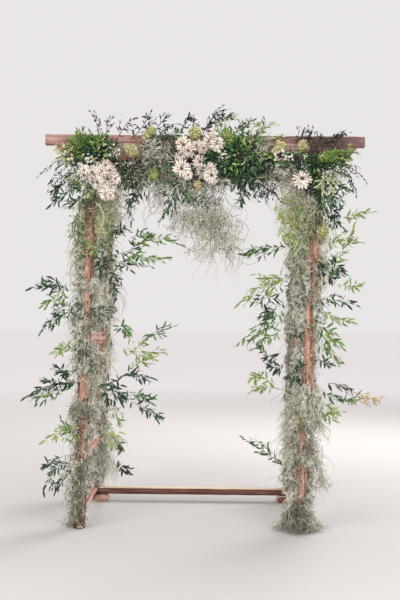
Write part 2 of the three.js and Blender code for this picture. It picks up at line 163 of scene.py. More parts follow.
class Graph:
    """Shader nodes of one material."""

    def __init__(self, name):
        self.material = bpy.data.materials.new(name)
        self.material.use_nodes = True
        self.tree = self.material.node_tree
        self.shader = self.tree.nodes["Principled BSDF"]
        self.object_coords = self.tree.nodes.new("ShaderNodeTexCoord").outputs["Object"]

    def plug(self, socket, value):
        """Links a socket to the one that drives it, or gives it a constant."""
        if isinstance(value, bpy.types.NodeSocket):
            self.tree.links.new(value, socket)
        else:
            socket.default_value = value

    def set(self, socket, value):
        self.plug(self.shader.inputs[socket], value)

    def node(self, kind, inputs=None, **settings):
        made = self.tree.nodes.new("ShaderNode" + kind)
        for key, value in settings.items():
            setattr(made, key, value)
        for key, value in (inputs or {}).items():
            self.plug(made.inputs[key], value)
        return made

    def stretched(self, scale):
        mapping = {"Vector": self.object_coords, "Scale": scale}
        return self.node("Mapping", mapping).outputs["Vector"]

    def parts(self, vector):
        return self.node("SeparateXYZ", {"Vector": vector}).outputs

    def tone(self):
        return self.node("Attribute", attribute_name="tone").outputs["Fac"]

    def noise(self, scale, detail, roughness=0.55, distortion=0.0):
        """Noise whose scale is a number, or three numbers, in cycles per metre."""
        scale = (scale,) * 3 if isinstance(scale, (int, float)) else scale
        values = {"Vector": self.stretched(scale), "Scale": 1.0, "Detail": detail}
        values.update({"Roughness": roughness, "Distortion": distortion})
        return self.node("TexNoise", values).outputs["Fac"]

    def grain(self, axis, along, across, *settings):
        """Noise that is drawn out along an axis."""
        return self.noise([along if i == axis else across for i in range(3)], *settings)

    def ramp(self, value, stops):
        """stops are rows of a place and a colour on screen."""
        stops = rows_of(stops) if isinstance(stops, str) else stops
        made = self.node("ValToRGB", {"Fac": value})
        elements = made.color_ramp.elements
        while len(elements) < len(stops):
            elements.new(0.5)
        for element, (place, *colour) in zip(elements, stops):
            element.position = place
            element.color = srgb(*colour)
        return made.outputs["Color"]

    def mask(self, value, low, high):
        """0 below low and 1 above high, or the reverse where low is above high."""
        limits = {"Value": value, "From Min": low, "From Max": high}
        return self.node("MapRange", limits).outputs["Result"]

    def mix(self, factor, a, b, blend="MIX"):
        made = self.node("Mix", data_type="RGBA", blend_type=blend)
        for key, value in (("Factor", factor), ("A", a), ("B", b)):
            self.plug(next(s for s in made.inputs if s.name == key and s.enabled), value)
        return next(s for s in made.outputs if s.enabled)

    def math(self, operation, a, b=0.5):
        return self.node("Math", {0: a, 1: b}, operation=operation).outputs["Value"]

    def plus(self, a, b):
        return self.math("ADD", a, b)

    def times(self, a, b):
        return self.math("MULTIPLY", a, b)

    def away(self, value, middle, gain):
        return self.times(self.math("SUBTRACT", value, middle), gain)

    def bump(self, height, distance, strength=1.0):
        made = self.node("Bump", {"Height": height, "Distance": distance, "Strength": strength})
        self.set("Normal", made.outputs["Normal"])

    def gloss(self, rough, low, high, specular=None):
        """Roughness from low to high by a value, and how strong the gloss is."""
        limits = {"Value": rough, "To Min": low, "To Max": high}
        self.set("Roughness", self.node("MapRange", limits).outputs["Result"])
        if specular is not None:
            self.set("Specular IOR Level", specular)


def even_stops(tones, first, span):
    """Ramp stops for tones that lie evenly over a span."""
    return [(first + span * i / (len(tones) - 1), *tone) for i, tone in enumerate(tones)]


def wood(name, axis, tones, patch, crack_depth=0.0016, fleck=(0.6, 0.68)):
    """Rough cedar with its grain along an axis. tones run from dark streak to pale streak; patch is
    the colour of weathered or bark-stained places, and on a pole also of painted shade near its
    top; fleck is where scraps of bark begin."""
    g = Graph(name)
    grain = g.grain(axis, 5, 150, 9, 0.68, 0.35)
    streaks = g.grain(axis, 1.6, 34, 5, 0.6, 0.8)
    stains_and_painted_shade = g.grain(axis, 3, 11, 4, 0.62, 0.5)
    at = g.parts(g.object_coords)
    if axis == 0:  # the boards have weathered more towards the right end
        stains_and_painted_shade = g.plus(stains_and_painted_shade, g.times(g.mask(at["X"], 0.3, 0.95), 0.2))
    if axis == 2:  # a pole is darker towards its foot, and near its top it is darkened as painted shade under the header
        ends = g.math("MAXIMUM", g.mask(at["Z"], 0.6, 0.0), g.mask(at["Z"], 1.76, 2.0))
        stains_and_painted_shade = g.plus(stains_and_painted_shade, g.times(ends, 0.31))
    both = g.times(g.plus(grain, streaks), 0.5)
    colour = g.ramp(both, even_stops(rows_of(tones), 0.33, 0.34))
    pale_patch = [min(255, c * 1.35) for c in patch]
    stained = g.ramp(grain, [(0.3, *patch), (0.75, *pale_patch)])
    colour = g.mix(g.mask(stains_and_painted_shade, 0.52, 0.68), colour, stained)
    flecks = g.mask(g.grain(axis, 24, 66, 5, 0.62, 0.5), *fleck)
    colour = g.mix(flecks, colour, srgb(84, 60, 48))
    cracked = g.mask(g.grain(axis, 2.2, 75, 6, 0.7, 0.9), 0.63, 0.67)
    g.set("Base Color", g.mix(cracked, colour, srgb(58, 36, 30)))
    g.gloss(grain, 0.68, 0.95, 0.25)
    height = g.math("SUBTRACT", both, g.times(cracked, 0.55))
    g.bump(g.plus(height, g.times(flecks, 0.3)), crack_depth)
    return g.material


FRESH_MOSS = (240, 243, 220)  # its tint


def greener_above(g, colour, tint):
    """The colour, tinted where the moss on the poles is fresh, high up but below the header."""
    at = g.parts(g.object_coords)
    height = g.plus(at["Z"], g.away(g.noise(7, 2), 0.5, 0.5))
    fresh = g.times(g.mask(height, 1.55, 1.85), g.mask(height, 2.12, 1.98))
    fresh = g.times(fresh, g.mask(g.math("ABSOLUTE", at["X"]), 0.36, 0.48))
    return g.mix(fresh, colour, srgb(*tint), "MULTIPLY")


def toned(name, stops, rough, specular, blotch, blotch_scale, sheen=0.0, tint=None):
    """Leaves, petals or moss: the tone of each vertex picks the colour, and noise varies it."""
    g = Graph(name)
    tone = g.tone()
    fine = g.noise(blotch_scale, 5, 0.6)
    wide = g.noise(blotch_scale / 9, 3, 0.5)
    uneven = g.plus(g.math("SUBTRACT", fine, 0.5), g.math("SUBTRACT", wide, 0.5))
    colour = g.ramp(g.plus(tone, g.times(uneven, blotch)), stops)
    g.set("Base Color", greener_above(g, colour, tint) if tint else colour)
    g.gloss(fine, *rough, specular)
    if sheen:
        g.set("Sheen Weight", sheen)
    g.bump(g.noise(blotch_scale * 5, 3), 0.0006, 0.6)
    return g.material


POLE_TONES = "66,44,36 130,92,76 184,138,118 208,168,148 224,196,178"
BOARD_TONES = "72,50,46 122,90,84 156,120,112 184,150,140 208,180,168"
RAIL_TONES = "96,64,56 150,112,102 192,154,142 214,186,174 230,210,198"
POLE_WOOD = wood("pole_cedar", 2, POLE_TONES, (92, 70, 58), 0.0024, (0.53, 0.6))
BOARD_WOOD = wood("board_cedar", 0, BOARD_TONES, (92, 72, 68))
RAIL_WOOD = wood("rail_cedar", 1, RAIL_TONES, (140, 108, 98))


def beam_wood():
    """The ground beam: a pale sawn top and a dark purple-red bark face, which also paint the top as
    lit from above and the face as shaded.
    """
    g = Graph("beam_cedar")
    grain = g.grain(0, 4, 130, 8, 0.65, 0.3)
    wide = g.grain(0, 2, 26, 5, 0.6, 0.9)
    both = g.times(g.plus(grain, wide), 0.5)
    face = g.ramp(both, ".34,48,22,18 .45,96,62,54 .56,128,94,84 .68,176,142,122")
    sawn = g.ramp(both, ".34,168,144,118 .5,206,186,160 .66,226,210,188")
    upward = g.parts(g.node("NewGeometry").outputs["Normal"])["Z"]
    # The top is the pale sawn face, and also painted light: it is lighter where the surface faces
    # up.
    top = g.mask(g.plus(upward, g.away(wide, 0.5, 0.8)), 0.55, 0.8)
    g.set("Base Color", g.mix(top, face, sawn))
    g.gloss(grain, 0.7, 0.95, 0.2)
    g.bump(both, 0.002)
    return g.material


def end_grain(name, tones):
    """Sawn end grain: rings, rays and checks."""
    g = Graph(name)
    ring_shape = {"Vector": g.stretched((1, 0.2, 1)), "Scale": 38.0, "Distortion": 5.0}
    ring_shape.update({"Detail": 3.0, "Detail Scale": 2.0})
    rings = g.node("TexWave", ring_shape, wave_type="RINGS", rings_direction="Y").outputs["Fac"]
    fine = g.noise(140, 6, 0.7)
    both = g.plus(g.times(rings, 0.55), g.times(fine, 0.45))
    g.set("Base Color", g.ramp(both, even_stops(rows_of(tones), 0.2, 0.6)))
    g.gloss(fine, 0.75, 0.95)
    g.bump(both, 0.0015)
    return g.material


def tangle():
    """Thick moss: curly fibres over gaps darkened as painted shade, with darker pits of painted
    shade. The fibres are the level lines of noise.
    """
    g = Graph("moss_tangle")
    fibres = None
    for scale, offset in ((70, 0.0), (95, 3.7), (125, 8.1), (160, 5.5)):
        place = {"Vector": g.object_coords, "Location": (offset, offset * 2, -offset)}
        place["Scale"] = (scale, scale, scale * 0.6)
        curly = {"Vector": g.node("Mapping", place).outputs["Vector"], "Scale": 1.0}
        curly.update({"Detail": 1.5, "Distortion": 0.6})
        level = g.math("SUBTRACT", g.node("TexNoise", curly).outputs["Fac"], 0.5)
        line = g.mask(g.math("ABSOLUTE", level), 0.05, 0.012)
        fibres = line if fibres is None else g.math("MAXIMUM", fibres, line)
    fine = g.noise(220, 3, 0.6)
    bright = g.plus(g.tone(), g.away(fine, 0.4, 0.9))
    strand = g.ramp(bright, "0,146,147,126 .45,216,214,196 .9,252,248,238")
    # The gaps between the fibres and the pits are darkened as painted shade.
    shaded_gap = g.ramp(bright, ".1,68,68,54 .7,148,147,126")
    shaded_pits = g.mask(g.noise((60, 60, 42), 2, 0.5), 0.445, 0.375)
    matted = g.mix(g.times(shaded_pits, 0.8), g.mix(fibres, shaded_gap, strand), srgb(62, 62, 48))
    g.set("Base Color", greener_above(g, matted, FRESH_MOSS))
    g.gloss(fine, 0.8, 0.97, 0.1)
    g.bump(fibres, 0.004)
    return g.material


def steel():
    g = Graph("rusty_steel")
    rust = g.noise(500, 5, 0.65)
    g.set("Base Color", g.ramp(rust, ".35,72,66,62 .55,110,84,66 .7,132,78,48"))
    g.gloss(rust, 0.35, 0.85)
    g.set("Metallic", 0.8)
    g.bump(rust, 0.0003, 0.6)
    return g.material


BEAM_WOOD = beam_wood()
END_GRAIN = end_grain("end_grain_pale", "120,78,62 178,128,106 210,168,146 226,196,178")
# A darker copy of the end grain as painted shade, for the ends that lie in shade: the ground beam's
# and the right billet's.
END_GRAIN_SHADED = end_grain("end_grain_dark", "62,30,26 112,52,42 150,84,68 180,120,100")
MOSS_STOPS = "0,96,96,74 .3,156,157,132 .55,200,199,178 .8,228,224,208 1,246,241,230"
MOSS = toned("spanish_moss", MOSS_STOPS, (0.8, 0.95), 0.15, 0.3, 90.0, 0.2, FRESH_MOSS)
TANGLE = tangle()
LEAF_STOPS = """0,44,40,42 .1,36,60,46 .18,48,84,59 .32,74,120,66 .48,104,148,66 .62,146,168,78
    .76,182,194,150 .88,206,188,140 1,200,168,128"""
LEAF = toned("leaves", LEAF_STOPS, (0.38, 0.62), 0.35, 0.16, 50.0)
STEM_STOPS = "0,66,50,38 .4,96,84,52 .7,120,128,68 1,200,202,156"
STEM = toned("stems", STEM_STOPS, (0.6, 0.8), 0.2, 0.3, 80.0)
PETAL_STOPS = "0,144,118,104 .3,188,169,155 .62,216,201,188 1,244,236,226"
PETAL = toned("petals", PETAL_STOPS, (0.55, 0.75), 0.2, 0.12, 70.0, 0.2)
CENTRE_STOPS = "0,70,54,36 .35,116,94,50 .6,150,142,62 .85,204,194,92 1,232,222,130"
CENTRE = toned("flower_centres", CENTRE_STOPS, (0.6, 0.85), 0.2, 0.3, 400.0)
LIME_STOPS = """0,84,104,48 .25,136,152,76 .5,176,184,112 .75,204,204,148 .9,222,214,180
    1,222,184,140"""
LIME = toned("lime_florets", LIME_STOPS, (0.5, 0.7), 0.25, 0.3, 60.0)
STEEL = steel()
GREEN_SET, MOSS_SET = [LEAF, STEM], [MOSS, TANGLE]
PETAL_SET, LIME_SET = [PETAL, CENTRE, STEM], [LIME, CENTRE, STEM]


# ---- shapes gathered into pieces ----


def into_scene(name, data):
    """A new object of the scene."""
    made = bpy.data.objects.new(name, data)
    bpy.context.scene.collection.objects.link(made)
    return made


class Shapes:
    """Triangles of one piece, with a tone for each vertex and a material number for each face."""

    def __init__(self):
        self.verts, self.tris, self.tones, self.slots, self.count = [], [], [], [], 0

    def add(self, verts, tris, tone, material=0):
        """verts holds copies of one shape, as (copy, vertex, 3), and tris its triangles. tone is
        one number for all, one for each copy or one for each vertex."""
        copies, size = verts.shape[:2]
        starts = self.count + np.arange(copies) * size
        self.tris.append((tris[None] + starts[:, None, None]).reshape(-1, 3))
        self.verts.append(verts.reshape(-1, 3))
        tone = np.asarray(tone, float)
        tone = tone if tone.ndim == 2 else tone.reshape(-1, 1)
        self.tones.append(np.broadcast_to(tone, (copies, size)).ravel())
        self.slots.append(np.full(copies * len(tris), material))
        self.count += copies * size

    def piece(self, name, materials, slot, *nodes):
        """Makes the object, which stands for the named CAD nodes."""
        tris = np.concatenate(self.tris)
        mesh = bpy.data.meshes.new(name)
        mesh.from_pydata(np.concatenate(self.verts).tolist(), [], tris.tolist())
        tones = np.concatenate(self.tones).astype(np.float32)
        mesh.attributes.new("tone", "FLOAT", "POINT").data.foreach_set("value", tones)
        for material in materials:
            mesh.materials.append(material)
        slots = np.concatenate(self.slots).astype(np.int32)
        mesh.polygons.foreach_set("material_index", slots)
        mesh.polygons.foreach_set("use_smooth", np.full(len(tris), True))
        mesh.update()
        made = into_scene(name, mesh)
        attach(made, "root")
        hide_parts(*nodes)


# ---- timber ----


def loft_faces(stations, around):
    """Triangles of a tube of rings with a centre vertex at each end: its side and its ends."""
    s, r = np.meshgrid(np.arange(stations - 1), np.arange(around), indexing="ij")
    a, b = s * around + r, s * around + (r + 1) % around
    c, d = a + around, b + around
    side = np.concatenate([xyz(a, b, d).reshape(-1, 3), xyz(a, d, c).reshape(-1, 3)])
    ring = np.arange(around)
    after = (ring + 1) % around
    base, centre = (stations - 1) * around, stations * around
    ends = [xyz(after, ring, centre), xyz(base + ring, base + after, centre + 1)]
    return side, np.concatenate(ends)


def add_loft(shapes, rings, tone=0.5, side_material=0, end_material=1):
    """A closed solid from rings given as (station, around, 3)."""
    side, ends = loft_faces(*rings.shape[:2])
    middle = np.stack([rings[0].mean(0), rings[-1].mean(0)])
    verts = np.concatenate([rings.reshape(-1, 3), middle])[None]
    shapes.add(verts, side, tone, side_material)
    shapes.tris.append(ends + shapes.count - verts.shape[1])
    shapes.slots.append(np.full(len(ends), end_material))


def waves(size, seed, count=7, low=1.0, high=9.0):
    """A smooth random function of one number, mostly from -1 to 1."""
    local = np.random.default_rng(seed)
    rate, phase = local.uniform(low, high, count), local.uniform(0, TURN, count)
    return np.sin(size[..., None] * rate + phase).mean(-1) * 1.6


def round_pole(pole, z, bearing, reach):
    """Points at a distance from a pole's axis."""
    x, y = pole_at(pole, z)[0], POLE_Y[pole]
    return xyz(x + np.cos(bearing) * reach, y + np.sin(bearing) * reach, z)


POLE_STATION = 0.014  # how far apart the rings of a pole are
POLE_AROUND = 36
STUB_RINGS = ((0.0, 1.25), (0.4, 0.95), (0.8, 0.8), (1.0, 0.76))  # place along it, and width


def add_pole(shapes, pole, seed, stubs):
    """A fluted trunk with longitudinal ridges, checks, knots and the stubs of cut branches."""
    local = np.random.default_rng(seed)
    z = np.linspace(0, POLE_TOP, int(POLE_TOP / POLE_STATION))
    zz, aa = np.meshgrid(z, circle(POLE_AROUND), indexing="ij")
    reach = pole_at(pole, zz)[1] * (1 + 0.045 * np.sin(3 * aa + zz / 0.5))
    for _ in range(16):  # ridges
        lobes, phase = local.integers(5, 17), local.uniform(0, 6.3)
        twist = local.uniform(-1.2, 1.2)
        sway = waves(zz, int(local.integers(1e6)), 3, 2, 12)
        reach += 0.00045 * np.sin(lobes * aa + phase + twist * zz + sway)
    reach += 0.0008 * waves(zz * 3 + aa, seed + 5, 6, 4, 18)
    for _ in range(9):  # checks
        place, length = local.uniform(0.1, 2.3), local.uniform(0.08, 0.4)
        bearing = local.uniform(0, 6.28)
        wander = 0.3 * waves(zz, int(local.integers(1e6)), 4, 3, 20)
        off = wrapped(aa - bearing - wander)
        reach -= 0.0032 * np.exp(-((off / 0.055) ** 2)) * np.exp(-(((zz - place) / length) ** 4))
    for height, bearing, size in stubs:  # swellings round the stubs
        off = wrapped(aa - math.radians(bearing)) * 0.034
        spread = np.sqrt(off**2 + ((zz - height) * 0.7) ** 2)
        reach += size * 0.42 * np.exp(-((spread / (size * 1.1)) ** 2))
    add_loft(shapes, round_pole(pole, zz, aa, reach))
    around = circle(14)
    for height, bearing, size in stubs:
        bearing = math.radians(bearing)
        outward = unit(np.array([math.cos(bearing), math.sin(bearing), 0.45]))
        px, pr = pole_at(pole, height)
        start = np.array([px, POLE_Y[pole], height]) + outward * pr * 0.75
        side = unit(np.cross(outward, UP))
        ring = turned(around, side, np.cross(side, outward)) * size * 0.5
        uneven = (1 + 0.08 * np.sin(3 * around + height))[:, None]
        rings = [start + outward * (size * 1.15 * t) + ring * w * uneven for t, w in STUB_RINGS]
        add_loft(shapes, np.stack(rings))


def board_ring(width, height, edge, around_side):
    """Points round a rectangle with eased edges, centred on zero, anticlockwise seen from +X."""
    w, h = width / 2 - edge, height / 2 - edge
    corners = [(w, -h, -90), (w, h, 0), (-w, h, 90), (-w, -h, 180)]
    points = []

    def eased(y, z, degrees):
        bearing = math.radians(degrees)
        return y + edge * math.cos(bearing), z + edge * math.sin(bearing)

    for i, (y, z, first) in enumerate(corners):
        points += [eased(y, z, first + 30 * step) for step in range(4)]
        (ay, az), (by, bz) = points[-1], eased(*corners[(i + 1) % 4])
        count = around_side[i % 2]
        steps = range(1, count)
        points += [(ay + (by - ay) * k / count, az + (bz - az) * k / count) for k in steps]
    return np.array(points)


END_EASE = 0.0025  # how far from an end of a board its edge starts to ease


def add_board(
    shapes, place, length, width, height, seed, ends=(0, 0), edge=0.004, station=0.014, wane=0.0
):
    """A rough board along its own x. place turns its local points into the frame's. ends are how
    far the lower edge of each end is cut back from the upper one."""
    local = np.random.default_rng(seed)
    ring = board_ring(width, height, edge, (5, 4) if height < 0.08 else (7, 4))
    u = np.linspace(0, 1, max(8, int(length / station)))
    u = np.concatenate([[0, END_EASE / length], u[1:-1], [1 - END_EASE / length, 1]])
    uu, rr = np.meshgrid(u, np.arange(len(ring)), indexing="ij")
    y, z = ring[rr, 0], ring[rr, 1]
    low = 0.5 - z / height
    x = ends[0] * low * (1 - uu) + (length - ends[1] * low) * uu
    rough = 0.0006 * waves(x * 30 + rr * 3.7, seed, 9, 0.5, 3)
    rough += 0.0005 * waves(x * 12 + y * 260 + z * 170, seed + 1, 8, 0.4, 2.5)
    for _ in range(5):  # knots, raised or sunk
        cx, cz = local.uniform(0.1, 0.9) * length, local.uniform(-0.35, 0.35) * height
        size = local.uniform(0.008, 0.016)
        spread = ((x - cx) / (size * 1.5)) ** 2 + ((z - cz) / size) ** 2
        rough += 0.0016 * np.exp(-spread) * np.sign(local.uniform(-1, 1))
    grooves = 0.0005 * waves(z * 900 + y * 700, seed + 2, 6, 0.4, 1.6)
    grooves *= 1 + 0.4 * waves(x * 5, seed + 3)
    shrink = np.where((uu <= 0) | (uu >= 1), 0.0016, 0.0)
    wandering = 0.0016 * waves(x * 4, seed + 4)
    corner = (np.abs(y) / width + np.abs(z) / height) ** 6
    worn = wane * corner * (0.6 + 0.4 * waves(x * 7, seed + 6))
    out = unit(xyz(0.0, y / width, z / height))
    offset = out * (rough + grooves - shrink - worn)[..., None]
    add_loft(shapes, place(xyz(x, y, z + wandering) + offset))


NAIL_RADIUS = 0.0042
NAIL_RINGS = ((-0.004, 0.5), (-0.0002, 1), (0.0009, 0.93), (0.0014, 0.5))  # height and width


def add_nail(shapes, place, normal):
    """A domed nail head, slightly sunk, in an upright face."""
    side = unit(np.cross(normal, UP))
    ring = turned(circle(10), side, np.cross(normal, side)) * NAIL_RADIUS
    rings = np.stack([place + normal * height + ring * width for height, width in NAIL_RINGS])
    add_loft(shapes, rings, side_material=2, end_material=2)


# Height of each branch stub, its bearing in degrees (270 faces the front) and its thickness.
STUBS = {
    "front_left": ".42,200,.02 1.18,290,.022 1.66,250,.018 1.93,330,.02",
    "front_right": ".62,255,.02 1.05,285,.024 1.42,230,.016 1.72,300,.018",
    "rear_left": ".5,80,.022 1.15,275,.02 1.75,120,.018",
    "rear_right": ".7,60,.02 1.3,100,.022 1.9,280,.018",
}
for number, (pole, stubs) in enumerate(STUBS.items()):
    trunk = Shapes()
    add_pole(trunk, pole, 40 + number * 13, rows_of(stubs))
    trunk.piece(f"{pole}_trunk", [POLE_WOOD, END_GRAIN, STEEL], "pole_wood", f"{pole}_pole")

RELIEF = 0.001  # left between a board's size and its CAD box, for the roughness


def header_board(name, node, seed, ends, edge, nails, facing):
    """nails are rows of x and z. They are in the front face, or the rear one where facing is 1."""
    low, high, middle, size = box_of(node)
    shapes = Shapes()
    place = lambda p: p + [low[0], middle[1], middle[2]]
    add_board(shapes, place, size[0], size[1] - RELIEF, size[2] - RELIEF, seed, ends, edge)
    face = low[1] if facing < 0 else high[1]
    for x, z in rows_of(nails):
        add_nail(shapes, np.array([x, face, z]), np.array([0, facing, 0]))
    shapes.piece(name, [BOARD_WOOD, END_GRAIN, STEEL], "board_wood", node)


HEADER_BOARDS = [  # piece, node, seed, how the ends are cut back, edge, nails and facing
    ("front_cap_plank", "front_cap_board", 71, (0, 0), 0.0025,
     "-.705,2.402 -.69,2.374 .7,2.4 .712,2.373", -1.0),
    ("front_header_plank", "front_header_beam", 72, (0.108, 0.082), 0.0025,
     "-.71,2.33 -.695,2.285 .698,2.328 .708,2.282", -1.0),
    ("rear_header_plank", "rear_header_board", 73, (0, 0), 0.003,
     "-.7,2.39 -.695,2.35 .7,2.388 .708,2.352", 1.0),
]
for board in HEADER_BOARDS:
    header_board(*board)

# Side rails: each lies between its front and rear poles and is nailed to them at a slant.
RAIL_WIDTH = 0.056
RAIL_LEVELS = {
    "bottom": (0.048, 0.122),
    "lower": (0.4, 0.465),
    "middle": (1.116, 1.198),
    "top": (2.236, 2.31),
}
RAIL_NAILS = ((0.013, 1), (-0.015, -1))  # height from the middle, and on the inner side or not


def add_rail(node, side, inward, bottom, top):
    middle_z = (bottom + top) / 2
    front_x, front_r = pole_at(f"front_{side}", middle_z)
    rear_x, rear_r = pole_at(f"rear_{side}", middle_z)
    slope = (rear_x - front_x) / (REAR_Y - FRONT_Y)
    start_y, end_y = FRONT_Y + front_r * 0.8, REAR_Y - rear_r * 0.8

    def place(p):
        y = start_y + p[..., 0]
        return xyz(front_x - p[..., 1] + (y - FRONT_Y) * slope, y, middle_z + p[..., 2])

    shapes = Shapes()
    seed = 90 + len(node) + int(top * 10) - inward
    size = end_y - start_y, RAIL_WIDTH - RELIEF, top - bottom - RELIEF
    add_board(shapes, place, *size, seed, station=0.022, wane=0.1)
    for y in (start_y + 0.032, end_y - 0.03):
        for dz, hand in RAIL_NAILS:
            facing = float(inward * hand)
            x = front_x + (y - FRONT_Y) * slope + facing * (RAIL_WIDTH / 2 - 0.0006)
            add_nail(shapes, np.array([x, y, middle_z + dz]), np.array([facing, 0, 0]))
    shapes.piece(f"{node}_timber", [RAIL_WOOD, END_GRAIN, STEEL], "rail_wood", node)


for side, inward in (("left", 1), ("right", -1)):
    for level, (bottom, top) in RAIL_LEVELS.items():
        add_rail(f"{side}_{level}_rail", side, inward, bottom, top)

# The ground beam: a split rail, flat on top and waney in front.
low, high, middle, size = box_of("rear_ground_beam")
uu, aa = np.meshgrid(np.linspace(0, 1, 100), circle(44), indexing="ij")
square = 1 / np.maximum(np.abs(np.cos(aa)), np.abs(np.sin(aa)))
blend = np.clip(0.5 + 0.5 * np.sin(aa + 0.55) * 1.6, 0, 1)
reach = 1 + (np.minimum(square, 1.32) - 1) * blend
x = uu * size[0]
ripple = 0.035 * waves(x * 9 + aa, 501, 8, 0.6, 4) + 0.03 * waves(aa * 6 + 0.4 * x, 502, 6, 1, 5)
reach = reach * (1 + ripple * (1.15 - blend)) * 0.985
y = np.clip(np.cos(aa) * reach * size[1] / 2, -0.5 * size[1], 0.5 * size[1])
z = np.clip(np.sin(aa) * reach, -1.0, 0.985) * size[2] / 2
beam = Shapes()
add_loft(beam, xyz(low[0] + x, middle[1] + y, middle[2] + z))
beam.piece("ground_beam_timber", [BEAM_WOOD, END_GRAIN_SHADED], "board_wood", "rear_ground_beam")

BILLET_RINGS = np.concatenate([[0.0, 0.03], np.linspace(0.06, 0.94, 8), [0.97, 1.0]])
# The right billet's end lies in shade, so it takes the darker copy of the end grain: painted shade.
for number, (side, sawn) in enumerate((("left", END_GRAIN), ("right", END_GRAIN_SHADED))):
    node = f"rear_{side}_billet"
    low, high, middle, size = box_of(node)
    uu, aa = np.meshgrid(BILLET_RINGS, circle(40), indexing="ij")
    bark = 1 + 0.03 * waves(aa * 4 + uu * 2 + number * 5, 611 + number, 7, 1, 6)
    bark -= np.where((uu <= 0) | (uu >= 1), 0.03, 0)
    x = np.cos(aa) * size[0] / 2 * bark
    z = np.clip(np.sin(aa) * 0.62 * bark, -0.5, 0.5) * size[2]
    billet = Shapes()
    add_loft(billet, xyz(middle[0] + x * 0.97, low[1] + size[1] * uu, middle[2] + z)[:, ::-1])
    billet.piece(f"{node}_log", [RAIL_WOOD, sawn], "rail_wood", node)


# ---- strands, leaves and flowers ----


def tube_tris(points):
    """Triangles of a three-sided tube that ends in points."""
    rings = points - 2
    tris = [(0, 2 + (k + 1) % 3, 2 + k) for k in range(3)]
    for r in range(rings - 1):
        for k in range(3):
            a, b = 2 + 3 * r + k, 2 + 3 * r + (k + 1) % 3
            tris += [(a, b, b + 3), (a, b + 3, a + 3)]
    last = 2 + 3 * (rings - 1)
    tris += [(1, last + k, last + (k + 1) % 3) for k in range(3)]
    return np.array(tris)


def add_tubes(shapes, paths, radius, tone, material, taper):
    """Thin strands along paths given as (strand, point, 3)."""
    count, points = paths.shape[:2]
    along = unit(np.gradient(paths, axis=1))
    aside = unit(np.cross(along, random_unit(count)[:, None]))
    other = np.cross(along, aside)
    girth = per_copy(radius, count) * (1 - taper * np.linspace(0, 1, points) ** 2)
    ring = np.stack([turned(a, aside, other) for a in THIRDS], 2)
    ring = paths[:, :, None] + ring * girth[:, :, None, None]
    ends = [paths[:, :1], paths[:, -1:]]
    verts = np.concatenate([*ends, ring[:, 1:-1].reshape(count, -1, 3)], 1)
    shapes.add(verts, tube_tris(points), tone, material)


def curls(start, heading, steps, step, curl, sag):
    """Curling paths that start at points with headings, sag downwards and are made of steps."""
    count = len(start)
    a = random_unit(count)
    b = unit(np.cross(a, random_unit(count)))
    phase = rng.uniform(0, TURN, count)
    rate = rng.uniform(0.5, 1.5, count) * rng.choice([-1, 1], count)
    step = per_copy(step, count)
    heading = unit(heading)
    path = [start]
    for i in range(steps):
        heading = unit(heading + curl * turned(phase + rate * i, a, b) - sag * UP)
        path.append(path[-1] + heading * step)
    return np.stack(path, 1)


LEAF_ROWS = {  # where the rows of a leaf are along it, and its half width there
    "lance": ([0.28, 0.66], [0.47, 0.42]),
    "small": ([0.35, 0.75], [0.46, 0.36]),
    "broad": ([0.2, 0.5, 0.82], [0.38, 0.5, 0.28]),
    "thin": ([0.3, 0.7], [0.5, 0.34]),
    "sparse": ([0.3, 0.72], [0.5, 0.36]),
    "petal": ([0.2, 0.6, 0.9], [0.3, 0.5, 0.36]),
    "floret": ([0.6], [0.5]),
}


def leaf_tris(rows):
    left, right, top, under = ([2 + 4 * r + k for r in range(rows)] for k in range(4))
    tris = []
    for ridge, flip in ((top, False), (under, True)):
        side = [(0, ridge[0], left[0]), (0, right[0], ridge[0])]
        for r in range(rows - 1):
            side += [(left[r], ridge[r], ridge[r + 1]), (left[r], ridge[r + 1], left[r + 1])]
            side += [(ridge[r], right[r], right[r + 1]), (ridge[r], right[r + 1], ridge[r + 1])]
        side += [(left[-1], ridge[-1], 1), (ridge[-1], right[-1], 1)]
        tris += [t[::-1] if flip else t for t in side]
    return np.array(tris)


LEAF_THICKNESS = 0.0004  # half of it


def add_leaves(shapes, kind, base, heading, normal, length, width, curl, fold, tone):
    """Folded, curling leaves or petals, each a thin closed solid."""
    rows, halves = LEAF_ROWS[kind]
    heading = unit(heading)
    normal = unit(normal - (normal * heading).sum(-1, keepdims=True) * heading)
    side = np.cross(heading, normal)
    length, width, curl = (per_copy(v, len(base)) for v in (length, width, curl))
    spine = lambda t: base + heading * length * t - normal * curl * length * t * t
    verts = [base, spine(1.0)]
    thick = normal * LEAF_THICKNESS
    for t, half in zip(rows, halves):
        middle, reach = spine(t), width * half
        lift = normal * reach * fold
        verts += [middle - side * reach + lift, middle + side * reach + lift]
        verts += [middle + thick, middle - thick]
    shapes.add(np.stack(verts, 1), leaf_tris(len(rows)), tone)


SPRAY_KINDS = {  # length, width, spacing along the stem, angle from it, curl
    "thin": (0.036, 0.0085, 0.0085, 40, 0.12),
    "lance": (0.056, 0.015, 0.0165, 46, 0.14),
    "small": (0.027, 0.0095, 0.0125, 48, 0.1),
    "sparse": (0.034, 0.0112, 0.021, 50, 0.06),
}
STEM_GIRTHS = {"small": 0.0013, "sparse": 0.0028, "lance": 0.0017}
# Tones of leaves, from near black (k) by dark, middle, bright and yellow-green to pale and orange:
# mean, spread and the tone of the stem.
TONES = {
    "k": (0.02, 0.04, 0.0),
    "d": (0.15, 0.07, 0.1),
    "m": (0.28, 0.09, 0.35),
    "b": (0.46, 0.09, 0.65),
    "y": (0.61, 0.07, 0.8),
    "p": (0.75, 0.05, 0.7),
    "o": (0.93, 0.05, 0.5),
}


